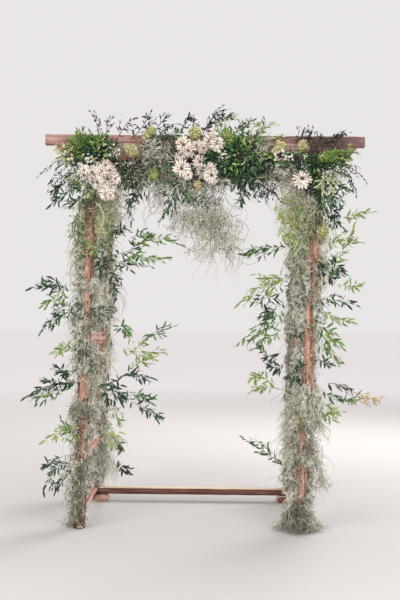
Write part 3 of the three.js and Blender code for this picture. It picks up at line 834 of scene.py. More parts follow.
def add_twig(shapes, kind, tone, points, size, girth, bare, fuller=1.0):
    """A leafy twig along three points, with its leaves in two uneven rows."""
    length, width, spacing, angle, curl = SPRAY_KINDS[kind]
    p0, p1, p2 = points
    control = 2 * p1 - (p0 + p2) / 2

    def at(t):
        t = np.asarray(t)[:, None]
        return (1 - t) ** 2 * p0 + 2 * t * (1 - t) * control + t**2 * p2

    reach = np.linalg.norm(p2 - p1) + np.linalg.norm(p1 - p0)
    count = max(4, int(reach / (spacing * size) * fuller))
    t = np.linspace(bare, 1.0, count) + rng.uniform(-0.5, 0.5, count) * (1 - bare) / count
    t[-1] = 1.0
    along = unit(at(t + 0.02) - at(t - 0.02))
    flat = np.cross(along, TO_REAR + 0.8 * rng.normal(size=3))
    flat = unit(flat + 0.35 * random_unit(count))
    hand = np.where(np.arange(count) % 2, 1.0, -1.0)[:, None]
    swing = np.radians(rng.normal(angle, 18, count)) * np.clip(1.9 - 1.9 * t, 0.08, 1)
    heading = turned(swing, along, flat * hand) + 0.38 * random_unit(count) - UP * 0.14
    normal = np.cross(along, flat) * hand + 0.9 * random_unit(count)
    mean, spread, stem_tone = TONES[tone]
    tones = random_tones(mean, spread, count)
    grown = size * rng.uniform(0.55, 1.18, count) * np.clip(1.25 - 0.4 * t, 0.6, 1.1)
    curled = rng.normal(curl, 0.12, count)
    sizes = length * grown, width * grown
    add_leaves(shapes, kind, at(t), heading, normal, *sizes, curled, 0.28, tones)
    add_tubes(shapes, at(np.linspace(0, 0.98, 8))[None], girth, stem_tone, 1, 0.6)
    return at


def add_spray(shapes, kind, tone, points, y, lean, branches=4):
    """A branching spray through three points given as (x, z) in centimetres. It starts at depth y
    and leans to the front by lean along its length."""
    p0, p1, p2 = (np.array([x / 100, y, z / 100]) for x, z in points)
    p1[1] -= lean * 0.6
    p2[1] -= lean
    reach = np.linalg.norm(p2 - p1) + np.linalg.norm(p1 - p0)
    girth = STEM_GIRTHS[kind]
    at = add_twig(shapes, kind, tone, (p0, p1, p2), 1.0, girth, 0.1)
    hands = rng.permutation([1, -1] * branches)
    for i in range(branches if reach > 0.1 else branches // 2):
        t = 0.18 + 0.6 * (i + rng.uniform(0, 0.8)) / branches
        start, ahead = at([t])[0], at([t + 0.05])[0]
        along = unit(ahead - start)
        flat = unit(np.cross(along, TO_REAR) + 0.5 * rng.normal(size=3))
        out = unit(along * 0.85 + flat * hands[i] * rng.uniform(0.4, 0.8))
        own = reach * rng.uniform(0.22, 0.4) * (1.15 - 0.6 * t)
        mid = start + out * own * 0.5
        end = start + unit(out + 0.35 * along - UP * 0.15) * own
        size = rng.uniform(0.72, 0.95)
        add_twig(shapes, kind, tone, (start, mid, end), size, girth * 0.55, 0.2)


def read_sprays(text):
    """Each line: a tone letter, then three x,z points in centimetres."""
    for tone, *points in lines_of(text):
        yield tone, rows_of(" ".join(points))


def add_fern(shapes, tone, base, aims, reach, y):
    """Fronds that leave a place (x, z) towards each aim, in degrees, in the x-z plane."""
    for aim in aims:
        aim = math.radians(aim + rng.normal(0, 5))
        own = reach * rng.uniform(0.75, 1.1)
        x, depth = base[0] + rng.normal(0, 0.012), y + rng.uniform(-0.02, 0.02)
        start = np.array([x, depth, base[1] + rng.normal(0, 0.012)])
        out = np.array([math.cos(aim), rng.uniform(-0.45, 0.0), math.sin(aim)])
        mid = start + out * own * 0.5 + UP * own * 0.05
        end = start + out * own - UP * own * 0.1
        mid[1], end[1] = max(mid[1], HEADER_FACE - 0.1), max(end[1], HEADER_FACE - 0.115)
        size = rng.uniform(0.85, 1.1)
        add_twig(shapes, "thin", tone, (start, mid, end), size, 0.0014, 0.08, 1.25)


def add_patch(shapes, kind, tone, place, half, count, length, width, y, hang):
    """Leaves that fill an ellipse in the x-z plane and stand off the depth y."""
    angle, radius = rng.uniform(0, TURN, count), np.sqrt(rng.uniform(0, 1, count))
    dx, dz = np.cos(angle) * radius, np.sin(angle) * radius
    bulge = 0.06 * np.sqrt(np.clip(1 - 0.8 * radius**2, 0, 1)) * rng.uniform(0.3, 1, count)
    start = xyz(place[0] + dx * half[0], y - (0.02 + bulge), place[1] + dz * half[1])
    aside, ahead = dx + rng.normal(0, 0.6, count), rng.normal(-0.5, 0.3, count)
    heading = xyz(aside, ahead, dz + rng.normal(0, 0.6, count) - hang)
    tones = random_tones(*TONES[tone][:2], count)
    normal = np.array([0, -1.0, 0.5]) + 0.6 * random_unit(count)
    size = rng.uniform(0.7, 1.15, count)
    curled = rng.normal(0.15, 0.08, count)
    length, width = length * size, width * size
    add_leaves(shapes, kind, start, heading, normal, length, width, curled, 0.25, tones)


def dome(rings=4, around=10):
    """A unit dome as verts and tris."""
    verts, tris = [], []
    for i in range(rings):
        tilt = math.pi / 2 * i / rings
        for a in np.arange(around) * TURN / around:
            out = math.cos(tilt)
            verts.append((out * math.cos(a), out * math.sin(a), math.sin(tilt)))
    top, bottom = len(verts), len(verts) + 1
    verts += [(0, 0, 1), (0, 0, -0.1)]
    for i in range(rings - 1):
        for k in range(around):
            a, b = i * around + k, i * around + (k + 1) % around
            tris += [(a, b, b + around), (a, b + around, a + around)]
    last = (rings - 1) * around
    for k in range(around):
        after = (k + 1) % around
        tris += [(last + k, last + after, top), (after, k, bottom)]
    return np.array(verts), np.array(tris)


DOME_VERTS, DOME_TRIS = dome()
SPIKE_TRIS = np.array([(0, 1, 3), (1, 2, 3), (2, 0, 3), (2, 1, 0)])


def plane_axes(facing):
    side = unit(np.cross(facing, UP + 0.01))
    return side, np.cross(side, facing)


def add_spikes(shapes, base, heading, length, girth, tone):
    heading = unit(heading)
    side = unit(np.cross(heading, random_unit(len(base))))
    other = np.cross(heading, side)
    length, girth = per_copy(length, len(base)), per_copy(girth, len(base))
    ring = [base + turned(a, side, other) * girth for a in THIRDS]
    shapes.add(np.stack([*ring, base + heading * length], 1), SPIKE_TRIS, tone, 1)


DAISY_RINGS = ((17, 1.0, 0.06, 0.3), (14, 0.82, 0.22, 0.27), (10, 0.58, 0.42, 0.2))
EYE_FLORETS = 56


def add_daisy(shapes, place, radius, facing):
    """A double daisy: rings of petals round a domed eye of small florets."""
    facing = unit(np.array(facing, float))
    side, lift = plane_axes(facing)
    place = np.array(place, float)
    blush = rng.uniform(0.5, 0.84)
    eye_size = rng.uniform(0.6, 0.95)
    for count, reach, raised, width in DAISY_RINGS:
        bearing = np.arange(count) * TURN / count + rng.uniform(0, 6) + rng.normal(0, 0.06, count)
        out = turned(bearing, side, lift)
        heading = out + facing * (raised + rng.normal(0, 0.07, count))[:, None]
        start = place + out * radius * 0.14 + facing * radius * (0.04 + raised * 0.1)
        size = rng.uniform(0.86, 1.06, count) * reach * radius * 0.98
        tones = random_tones(blush, 0.28, count)
        normal = facing + 0.16 * random_unit(count)
        wide = radius * width * rng.uniform(0.85, 1.1, count)
        curled = rng.normal(0.1, 0.07, count)
        add_leaves(shapes, "petal", start, heading, normal, size, wide, curled, 0.2, tones)
    axes = np.stack([side, lift, facing])
    front = place + facing * radius * 0.05
    eye = front + (DOME_VERTS * np.array([0.15, 0.15, 0.14]) * radius * eye_size) @ axes
    shapes.add(eye[None], DOME_TRIS, 0.15, 1)
    k = np.arange(EYE_FLORETS)
    away = np.sqrt((k + 0.5) / EYE_FLORETS)
    florets = turned(k * GOLDEN_ANGLE, side, lift) * (away * radius * eye_size * 0.165)[:, None]
    height = np.sqrt(np.clip(1.15 - away**2, 0.1, 1)) * radius * eye_size * 0.14
    start = front + florets + facing * height[:, None] * 0.9
    heading = facing + florets / radius * 2.2
    tones = np.where(away > 0.72, 0.82, 0.25) + rng.normal(0, 0.08, EYE_FLORETS)
    add_spikes(shapes, start, heading, radius * 0.07, radius * 0.024, tones)
    cup_size = [radius * 0.2, radius * 0.2, -radius * 0.16]
    cup = place - facing * radius * 0.1 + (DOME_VERTS * cup_size) @ axes
    shapes.add(cup[None], DOME_TRIS[:, ::-1], 0.35, 2)
    stem = place - facing * np.linspace(0.01, 0.05, 5)[:, None]
    add_tubes(shapes, stem[None], 0.0022, 0.35, 2, 0.2)


BLOOM_FLORETS = 60


def add_bloom(shapes, place, radius, tone):
    """A round head of small four-petalled florets that faces the front."""
    place = np.array(place, float)
    k = np.arange(BLOOM_FLORETS)
    height = 1 - 1.5 * (k + 0.5) / BLOOM_FLORETS
    bearing, flat = k * GOLDEN_ANGLE, np.sqrt(np.clip(1 - height**2, 0, 1))
    facing = unit(np.array([0, -1, 0.2]))
    side, lift = plane_axes(facing)
    out = side * (np.cos(bearing) * flat)[:, None] + lift * (np.sin(bearing) * flat)[:, None]
    out = out + facing * height[:, None]
    centre = place + out * radius * rng.uniform(0.5, 1.05, BLOOM_FLORETS)[:, None]
    a, b = plane_axes(unit(out + 0.25 * random_unit(BLOOM_FLORETS)))
    spin = rng.uniform(0, 6.28, BLOOM_FLORETS)
    for petal in range(4):
        heading = turned(spin + petal * math.pi / 2, a, b) + out * 0.35
        size = radius * rng.uniform(0.3, 0.5, BLOOM_FLORETS)
        tones = random_tones(tone, 0.14, BLOOM_FLORETS)
        add_leaves(shapes, "floret", centre, heading, out, size, size * 0.85, 0.05, 0.15, tones)
    root = np.broadcast_to(place - facing * radius * 0.6, centre.shape)
    stalks = np.stack([root, (centre + place) / 2, centre], 1)
    add_tubes(shapes, stalks, 0.0009, 0.2, 0, 0.2)


def add_wax_flowers(shapes, low_x, high_x, low_z, high_z, count, y):
    """Small white five-petalled flowers, scattered in a box in the x-z plane."""
    x, depth = rng.uniform(low_x, high_x, count), y + rng.uniform(-0.03, 0.02, count)
    centre = xyz(x, depth, rng.uniform(low_z, high_z, count))
    facing = unit(np.array([0, -1.0, 0.3]) + 0.6 * random_unit(count))
    a, b = plane_axes(facing)
    size = rng.uniform(0.0075, 0.0105, count)
    for petal in range(5):
        bearing = petal * TURN / 5
        heading = a * math.cos(bearing) + b * math.sin(bearing) + facing * 0.3
        tones = random_tones(0.95, 0.05, count)
        add_leaves(shapes, "floret", centre, heading, facing, size, size * 0.9, 0.05, 0.15, tones)
    add_spikes(shapes, centre, facing, size * 0.45, size * 0.25, 0.75)
    stem = curls(centre, -facing + np.array([0, 0.6, -0.4]), 4, 0.009, 0.25, 0.1)
    add_tubes(shapes, stem, 0.0006, 0.6, 2, 0.2)


# ---- header garlands ----

GROUPS = ("left", "middle", "right")
LEFT_END, RIGHT_START = -45, 42  # where the left and right groups begin, in centimetres


def group_of(x, left_end=LEFT_END):
    return "left" if x < left_end else "right" if x > RIGHT_START else "middle"


def depth_of(word):
    """A depth in a table: from the header's face, or after an f from the front poles' axes."""
    return FRONT_Y + float(word[1:]) if word[0] == "f" else HEADER_FACE + float(word)


FLOWERS = {  # x, z in centimetres and radius in millimetres
    "left_daisies": """
    -68,217,46 -58,218,46 -64,215,43 -65,211,46 -54,213,38 -60,204,43 -61,207,43
    -73,218,38 -71,213,38 -57,208,38 -65,220,38 -60,221,38 -57,203,30 -68,213,36
    -59,213,42 -62,218,40""",
    "middle_upper_daisies": """
    -13,234,52 -10,231,48 3,237,52 7,235,48 -15,228,34 -5,234,42 -1,232,38""",
    "middle_lower_daisies": """
    -14,220,54 -3,224,43 2,220,46 4,216,55 -1,218,46 -10,216,32""",
}
for node, flowers in FLOWERS.items():
    heads = Shapes()
    for x, z, radius in rows_of(flowers):
        facing = (rng.normal(0, 0.22), -1, rng.normal(0.05, 0.22))
        depth = HEADER_FACE - 0.062 - rng.uniform(0.0, 0.026)
        add_daisy(heads, (x / 100, depth, z / 100), radius / 1000, facing)
    heads.piece(f"{node}_heads", PETAL_SET, "petals", node)
heads = Shapes()
add_daisy(heads, (0.595, FRONT_Y - 0.112, 2.148), 0.06, (-0.1, -1, 0.12))
add_daisy(heads, (0.54, FRONT_Y - 0.06, 2.155), 0.032, (-0.6, -1, 0.3))
heads.piece("right_daisies_heads", PETAL_SET, "petals", "right_daisies")

HEADER_TWIGS = """
k -65,234 -66,246 -70,255
k -62,234 -60,246 -59,252
k -56,232 -50,244 -43,250
k -47,237 -38,247 -33,257
k -40,238 -34,248 -36,252
k -34,238 -27,248 -22,252
k -28,238 -24,246 -14,248
k -20,240 -12,248 -10,253
k -8,240 -7,249 -10,252
k -2,240 2,249 10,258
k 0,240 5,252 14,257
k 1,242 9,252 20,250
y 4,242 11,251 19,252
k 8,240 10,246 6,253
m 16,240 21,246 25,248
m 22,240 25,247 29,250
y 26,240 30,246 33,246
m 30,238 35,246 36,251
y 28,238 37,246 42,250
p 42,236 45,241 50,243
k 55,236 57,241 57,245
k 58,236 60,241 59,246
k 62,236 64,241 63,246
k 65,236 67,240 66,245
k 69,236 71,241 70,244
k 72,236 79,241 88,243
k 73,236 80,240 84,243
"""
HEADER_ARCS = """
k -71,228 -88,226 -102,215
k -75,224 -88,219 -96,206
k -76,220 -86,213 -90,204
k 82,223 91,221 99,214
k 82,220 90,214 93,206
k 80,224 88,218 91,208
k 31,216 35,207 40,199
k 40,216 43,206 48,200
k 29,213 30,206 33,201
k 35,215 39,209 38,201
"""
HEADER_HANGERS = """
d -72,217 -84,212 -93,206
d -73,211 -84,204 -93,198
d -73,204 -78,199 -82,198
d -40,223 -43,205 -51,188
d -18,215 -20,202 -27,188
m -16,213 -12,205 -8,201
d 25,215 24,205 23,199
y 44,202 47,190 53,178
d -45,220 -40,208 -47,198
m 70,222 76,209 85,200
d 72,215 77,200 84,186
d 69,221 72,212 71,203
m 72,220 80,212 87,209
"""
greenery = {group: Shapes() for group in GROUPS}
for tone, points in read_sprays(HEADER_TWIGS):
    target = greenery[group_of(points[0][0])]
    y = HEADER_FACE - 0.012 + rng.uniform(-0.03, 0.005)
    add_spray(target, "sparse", tone, points, y, rng.uniform(-0.01, 0.04), 3)
for tone, points in read_sprays(HEADER_ARCS):
    target = greenery[group_of(points[0][0])]
    y, branches = HEADER_FACE - 0.01 + rng.uniform(-0.03, 0.02), 3 if points[0][0] < 0 else 2
    add_spray(target, "small", tone, points, y, rng.uniform(-0.01, 0.04), branches)
for tone, points in read_sprays(HEADER_HANGERS):
    target = greenery[group_of(points[0][0])]
    y = HEADER_FACE - 0.02 + rng.uniform(-0.02, 0.03)
    add_spray(target, "lance", tone, points, y, 0.02)

# Each line is a fern: tone, place x,z, aims (first:last:step or a list), reach and depth; or a
# patch: kind, tone, place x,z, half sizes, count, a leaf's length,width, depth and how it hangs.
LEFT_GREENERY = """
fern b -.735,2.31 10:178:11 .11 -.03
fern b -.755,2.31 60:175:12 .095 -.06
fern m -.77,2.36 84,92 .105 -.05
fern b -.68,2.32 30:165:18 .09 -.065
thin b -.775,2.32 .055,.07 84 .038,.009 0 0
fern d -.7,2.28 0:110:13 .13 -.02
broad d -.68,2.3 .07,.06 34 .06,.022 0 0
fern d -.76,2.27 150:235:16 .13 -.03
lance d -.74,2.265 .06,.05 34 .05,.013 0 0
small d -.63,2.32 .09,.07 150 .028,.0105 0 0
lance d -.64,2.29 .09,.09 74 .05,.014 0 0
small k -.62,2.27 .07,.05 50 .026,.01 -.02 0
small d -.7,2.125 .03,.035 22 .026,.01 -.05 .5
lance p -.64,2.32 .09,.08 30 .035,.008 -.03 0
lance b -.64,2.33 .08,.08 24 .04,.01 -.03 0
lance o -.86,2.3 .05,.035 22 .04,.013 0 0
small y -.84,2.27 .06,.04 40 .03,.011 0 0
small d -.48,2.155 .09,.08 230 .024,.009 0 .6
lance m -.79,2.1 .05,.1 16 .045,.011 0 .6
lance p -.72,2.1 .03,.07 16 .04,.01 0 .6
small k -.75,2.12 .04,.08 40 .024,.008 0 .6
lance p -.79,2.17 .05,.06 18 .045,.013 0 .4
"""
MIDDLE_GREENERY = """
small d -.42,2.15 .09,.07 130 .024,.009 0 .6
small d -.26,2.3 .13,.12 170 .025,.0095 0 0
lance m -.2,2.38 .12,.05 60 .045,.013 0 0
small m -.25,2.18 .1,.07 90 .026,.01 0 .4
broad d .02,2.27 .13,.12 80 .055,.024 0 0
broad d .24,2.25 .14,.12 110 .055,.024 0 .2
lance d .24,2.23 .16,.15 150 .055,.015 0 .4
lance m .22,2.3 .15,.13 120 .05,.014 0 0
lance b .24,2.28 .15,.13 50 .042,.01 -.025 0
lance p .26,2.29 .13,.11 50 .03,.007 -.025 0
lance b .17,2.4 .1,.05 60 .045,.013 0 0
lance y .13,2.37 .07,.05 26 .045,.014 0 0
lance p .14,2.25 .05,.06 22 .045,.014 0 0
small d .36,2.12 .08,.08 150 .024,.009 0 .8
small k -.13,2.12 .09,.06 90 .024,.009 0 .8
small k 0,2.07 .13,.1 76 .02,.007 0 .8
lance k .24,2.24 .15,.12 90 .05,.015 .03 .3
lance d -.21,2.03 .045,.1 26 .042,.011 -.01 .9
lance b .045,2.29 .05,.03 30 .045,.013 -.01 .2
lance d .05,2.27 .06,.05 50 .05,.014 -.005 .2
small k -.45,2.18 .11,.045 116 .024,.009 -.015 .5
small p -.46,2.17 .08,.07 34 .022,.008 -.03 .5
"""
# In RIGHT_GREENERY the near-black small k patch at .712,1.99 is painted shade on the top of the
# right front pole, and the one at .65,2.13 is dark leaves that also paint the shade beside the
# daisy.
RIGHT_GREENERY = """
lance d .6,2.25 .09,.05 80 .05,.015 0 0
small m .47,2.27 .1,.05 70 .028,.011 0 0
lance p .6,2.3 .05,.04 16 .04,.013 0 0
small k .71,2.375 .13,.035 44 .027,.008 0 0
thin k .74,2.36 .14,.035 52 .03,.005 0 0
small k .65,2.13 .03,.07 70 .026,.01 f-.01 .6
small k .712,1.99 .014,.11 60 .024,.008 f-.03 .9
fern b .67,2.255 0,5,10,15,20,26 .23 -.07
fern y .69,2.26 3,12,22 .16 -.085
fern m .73,2.26 0,7,14,22 .17 -.05
small k .73,2.3 .13,.04 84 .026,.01 .02 0
fern y .85,2.29 32,52 .07 -.07
fern m .68,2.25 -14,-8,-2,4,10 .2 -.03
fern d .67,2.235 -26,-14,-5,5 .17 -.03
fern k .68,2.23 -24,-12,-4,4 .13 -.045
lance p .74,2.13 .055,.065 44 .05,.014 -.02 .5
lance d .68,2.17 .03,.09 34 .05,.015 0 .7
lance m .75,2.07 .05,.1 38 .05,.012 0 .9
small d .8,1.96 .035,.08 44 .026,.01 .02 .9
"""


def grow(shapes, text):
    """Adds the ferns and patches of a table."""
    for kind, tone, place, *words in lines_of(text):
        (place,) = rows_of(place)
        if kind == "fern":
            aims, reach, y = words
            aims = range(*map(int, aims.split(":"))) if ":" in aims else rows_of(aims)[0]
            add_fern(shapes, tone, place, aims, float(reach), depth_of(y))
        else:
            half, count, leaf, y, hang = words
            (half,), (leaf,) = rows_of(half), rows_of(leaf)
            add_patch(shapes, kind, tone, place, half, int(count), *leaf, depth_of(y), float(hang))


grow(greenery["left"], LEFT_GREENERY)
grow(greenery["middle"], MIDDLE_GREENERY)
for x in np.arange(-0.52, 0.66, 0.075):  # near-black leaves behind the header, just below it, all along: painted shade under the header
    target = greenery[group_of(100 * x)]
    y = HEADER_FACE + 0.03
    add_patch(target, "small", "k", (x, 2.225), (0.05, 0.032), 44, 0.03, 0.012, y, 0.5)
grow(greenery["right"], RIGHT_GREENERY)

# x, z in centimetres, radius in millimetres, tone from green to cream, and depth.
BLOOMS = """-44,231,40,.84,-.05 -47,233,26,.88,-.05 -33,243,30,.6,-.05 -36,240,26,.7,-.05
    -6,242,42,.66,-.05 -31,216,32,.42,-.075 14,241,28,.45,-.05 16,237,26,.4,-.05 46,234,37,.82,-.05
    43,231,26,.84,-.05 60,235,33,.75,-.05 -4,210,30,.9,-.05 72,182,34,.66,-.05"""
blooms = {group: Shapes() for group in GROUPS}
for x, z, radius, tone, y in rows_of(BLOOMS):
    target = blooms[group_of(x, -42)]
    add_bloom(target, (x / 100, HEADER_FACE + y, z / 100), radius / 1000, tone)
for group, shapes in blooms.items():
    shapes.piece(f"{group}_lime_blooms", LIME_SET, "petals", f"{group}_header_garland")

WAX_FLOWERS = {  # low x, high x, low z, high z, count and depth
    "left": "-.87,-.8,2.25,2.33,16,-.06 -.76,-.64,2.23,2.28,24,-.07 -.6,-.52,2.27,2.34,14,-.06",
    "right": ".42,.53,2.25,2.31,26,-.07 .08,.13,2.24,2.3,10,-.09",
}
for group, rows in WAX_FLOWERS.items():
    shapes = Shapes()
    for *limits, count, y in rows_of(rows):
        add_wax_flowers(shapes, *limits, int(count), HEADER_FACE + y)
    shapes.piece(f"{group}_wax_flowers", PETAL_SET, "petals", f"{group}_header_garland")


# ---- moss ----


def front_view(points):
    """Where points are seen from the front, as x and z on the plane of the front poles."""
    near = (FRONT_Y - EYE[1]) / (points[..., 1] - EYE[1])
    return [EYE[i] + (points[..., i] - EYE[i]) * near for i in (0, 2)]


# Places that the moss leaves bare in that view, as rows of low x, high x, low z and high z under
# the depth before which they are bare: bark, the ends of the rails, and the daisy on the right.
BARE_PLACES = {
    0.42: "-.705,-.625,.5,.54",
    0.44: "-.702,-.6,1.143,1.206 -.716,-.66,.03,.2 -.672,-.618,.08,.25",
    0.47: "-.645,-.61,1.08,1.15",
    FRONT_Y: """-.736,-.672,1.68,1.99 -.747,-.666,1.535,1.7 -.748,-.694,1.33,1.455
        -.765,-.704,.76,.94 -.785,-.716,.44,.67 .638,.706,1.65,1.8 .654,.696,1.39,1.66
        .632,.684,1.24,1.4 .603,.68,.89,1.24 .583,.641,.475,.595 .568,.632,.15,.385""",
    FRONT_Y - 0.045: ".54,.645,2.09,2.21 .51,.57,2.13,2.18",
}
BARE = [(*row, before) for before, rows in BARE_PLACES.items() for row in rows_of(rows)]


def clear_of_bare(paths, share=1.0):
    """Which strands stay: all but those in bare places, of which a share goes."""
    x, z = front_view(paths)
    crosses = np.zeros(len(paths), bool)
    for x0, x1, z0, z1, before in BARE:
        inside = (x > x0) & (x < x1) & (z > z0) & (z < z1)
        crosses |= (inside & (paths[..., 1] < before)).any(1)
    return ~crosses | (rng.uniform(0, 1, len(paths)) > share)


REACH_LOW = np.array([cad_low[0] - 0.04, cad_low[1] - 0.025, 0.0035])
REACH_HIGH = np.array([cad_high[0] + 0.04, cad_high[1] + 0.03, cad_high[2] + 0.06])
FLOOR_ZONE = 0.012  # strands that come lower lie on the floor


def keep_in_box(paths):
    """Keeps strands above the floor and within the dressing's reach."""
    lying = 0.006 + 0.016 * np.abs(np.sin(paths[..., 0] * 90 + paths[..., 1] * 70))
    paths[..., 2] = np.where(paths[..., 2] < FLOOR_ZONE, lying, paths[..., 2])
    return np.clip(paths, REACH_LOW, REACH_HIGH)


def add_locks(shapes, roots, heading, strands, length, tone, loose=0.014, curl=0.85, sag=0.14,
              steps=4, clear=0.94, spread=0.13):
    """Locks of moss: groups of curling strands that share a root, a direction and a tone. clear is
    the share of the strands in bare places that goes."""
    locks = len(roots)
    which = np.repeat(np.arange(locks), strands)
    count = len(which)
    start = roots[which] + rng.normal(0, loose, (count, 3))
    lean = unit(heading)[which] + 0.5 * random_unit(count)
    reach = np.broadcast_to(length, locks)[which] * rng.uniform(0.55, 1.3, count)
    paths = keep_in_box(curls(start, lean, steps, reach / steps, curl, sag))
    kept = clear_of_bare(paths, clear)
    lock_tone = (tone + rng.normal(0, spread, locks))[which]
    tones = np.clip(lock_tone + rng.normal(0, 0.19, count), 0, 1)
    girth = rng.uniform(0.0012, 0.002, count)
    add_tubes(shapes, paths[kept], girth[kept], tones[kept], 0, 0.4)


def ball(rings=6, around=9):
    """A unit sphere as verts and tris."""
    tilt = np.linspace(0, math.pi, rings + 2)[1:-1]
    bearing = np.arange(around) * TURN / around
    ring = xyz(
        np.outer(np.sin(tilt), np.cos(bearing)),
        np.outer(np.sin(tilt), np.sin(bearing)),
        np.cos(tilt)[:, None],
    )
    verts = np.concatenate([ring.reshape(-1, 3), [(0, 0, 1), (0, 0, -1)]])
    return verts, np.concatenate(loft_faces(rings, around))[:, ::-1]


CORE_VERTS, CORE_TRIS = ball()


def add_tangle(shapes, centres, halves, tone=0.3):
    """Lumpy cores of tangled moss, which the strands cover. Their dark tone is painted shade inside
    the moss.
    """
    count = len(centres)
    phase = rng.uniform(0, 6.28, (count, 1, 6))
    axes = CORE_VERTS.T[None]
    wave = sum(
        np.sin(axes[:, k % 3] * (3 + k) + axes[:, (k + 1) % 3] * 2.3 + phase[..., k])
        for k in range(6)
    )
    placed = CORE_VERTS * (1 + 0.13 * wave)[..., None]
    sway = rng.uniform(-0.35, 0.35, count)[:, None]
    placed = placed * np.asarray(halves)[:, None]
    z = placed[..., 2]
    placed = placed + xyz(z * np.sin(sway), z * np.sin(sway * 1.7), 0.0)
    placed = placed + np.asarray(centres)[:, None]
    placed[..., 2] = np.maximum(placed[..., 2], 0.006)
    kept = clear_of_bare(placed)
    shapes.add(placed[kept], CORE_TRIS, random_tones(tone, 0.1, kept.sum()), 1)


SPLIT = 1.19  # the height that parts the upper moss from the lower
OVERLAP = 0.008  # how far each of them goes past it
MOSS_REACH = 0.085  # how far the matted moss stands off a pole at most
MOSS_DEPTH = 0.058  # how far it goes to the front and the rear


def field(points, size, seed, count=16):
    """A smooth random field whose lumps are about that size, mostly from -1.5 to 1.5."""
    local = np.random.default_rng(seed)
    rates = unit(local.normal(size=(count, 3))) * local.uniform(0.7, 1.3, (count, 1))
    rates = rates * math.pi / size
    phases = local.uniform(0, TURN, count)
    return np.sin(points @ (rates * [1, 1, 0.7]).T + phases).sum(-1) / math.sqrt(count / 2)


def moss_body(pole, rows, low, high, around, station, fill, seed):
    """The matted moss round a pole, as rings of points with a tone, how bare each is and the room
    that is left outside for loose strands. rows are z, left x, right x and the share of the pole's
    front that is covered. Where it is bare the rings lie inside the pole."""
    heights, lefts, rights, covers = np.array(sorted(rows)).T
    z = np.linspace(low, high, round((high - low) / station))
    zz, aa = np.meshgrid(z, circle(around), indexing="ij")
    left, right, cover = (np.interp(zz, heights, v) for v in (lefts, rights, covers))
    px, pr = pole_at(pole, zz)
    sideways = np.maximum(np.where(np.cos(aa) > 0, right - px, px - left), pr + 0.008)
    full = 1 / np.hypot(np.cos(aa) / sideways, np.sin(aa) / MOSS_DEPTH)
    skin = round_pole(pole, zz, aa, 0.07)
    sizes = enumerate((0.07, 0.03, 0.0135))
    clump, lump, fine = (field(skin, size, seed + i) for i, size in sizes)
    thick = np.clip(fill + 0.22 * clump + 0.12 * lump, 0.16, 0.92)
    reach = pr + np.minimum(full - pr, MOSS_REACH) * thick + 0.0045 * lump + 0.005 * fine
    room = np.clip(full - reach, 0, 0.05)
    share = 1 / (1 + np.exp(-1.7 * field(skin * [1, 1, 0.7], 0.05, seed + 3)))
    ahead = np.clip((-np.sin(aa) - 0.2 + 0.09 * lump) / 0.2, 0, 1)
    bare = np.clip((share - cover) / 0.14 + 0.5, 0, 1) * ahead
    place = round_pole(pole, zz, aa, reach)
    x, z = front_view(place)
    for x0, x1, z0, z1, before in BARE:
        inside = np.clip(np.minimum(x - x0, x1 - x) / 0.012 + 0.5, 0, 1)
        inside = inside * np.clip(np.minimum(z - z0, z1 - z) / 0.02 + 0.5, 0, 1)
        bare = np.maximum(bare, np.where(place[..., 1] < before, inside, 0))
    for end in (low, high):
        if abs(end - SPLIT) > OVERLAP * 2:  # the moss thins out there
            bare = np.maximum(bare, np.clip(1 - np.abs(zz - end) / 0.045, 0, 1) ** 2)
    reach = reach * (1 - bare) + (pr - 0.007) * bare
    # The tone rises with the lumps, so the sunk places come out darker: painted shade in the
    # hollows.
    tone = 0.46 + 0.07 * np.cos(2.2 * (zz - 1.35)) + 0.1 * clump + 0.16 * lump + 0.12 * fine
    return round_pole(pole, zz, aa, reach), np.clip(tone - 0.2 * bare, 0, 1), bare, room


def add_moss_column(shapes, pole, rows, low, high, locks, *settings):
    """Moss wound on a pole: its matted body, locks that curl out of it, and wisps that hang."""
    rings, tone, bare, room = moss_body(pole, rows, low, high, *settings)
    add_loft(shapes, rings, np.append(tone, [0.3, 0.3])[None], 1, 1)
    covered = np.flatnonzero(bare < 0.35)
    centre_x = pole_at(pole, rings[..., 2])[0]
    weight = 0.012 + np.abs(rings[..., 0] - centre_x).ravel()[covered] ** 1.5
    chosen = rng.choice(covered, locks, p=weight / weight.sum())
    place, body_tone = rings.reshape(-1, 3)[chosen], tone.ravel()[chosen]
    px = pole_at(pole, place[:, 2])[0]
    outward = unit(xyz(place[:, 0] - px, place[:, 1] - POLE_Y[pole], 0.0))
    place = place + outward * (room.ravel()[chosen] * rng.uniform(0, 0.9, locks))[:, None]
    heading = np.cross(outward, UP) * rng.normal(0, 0.8, locks)[:, None]
    heading = heading + outward * rng.uniform(-0.2, 1.0, locks)[:, None]
    heading = heading - UP * rng.uniform(0.0, 1.3, locks)[:, None]
    length = rng.uniform(0.035, 0.08, locks)
    roots = place - outward * 0.004
    add_locks(shapes, roots, heading, 7, length, body_tone + 0.1, 0.012, 0.9, 0.12, spread=0.19)
    long = rng.uniform(0, 1, locks) < 0.16
    length = rng.uniform(0.1, 0.2, long.sum())
    heading, tone = outward[long] * 0.45 - UP, body_tone[long] + 0.05
    add_locks(shapes, place[long], heading, 5, length, tone, 0.01, 0.55, 0.26, 6)


def add_net(shapes, pole, low, high, count):
    """Fine strands that cross the bare front of a pole."""
    z = rng.uniform(low, high, count)
    bearing = rng.uniform(-2.9, -0.25, count)
    outward = xyz(np.cos(bearing), np.sin(bearing), 0.0)
    roots = round_pole(pole, z, bearing, pole_at(pole, z)[1] + 0.004)
    heading = np.cross(outward, UP) * rng.normal(0, 1, count)[:, None] + outward * 0.12
    heading = heading - UP * rng.uniform(-0.4, 1, count)[:, None]
    length = rng.uniform(0.03, 0.065, count)
    tone = rng.uniform(0, 0.85, count)
    add_locks(shapes, roots, heading, 3, length, tone, 0.007, 0.8, 0.05, clear=0.0)


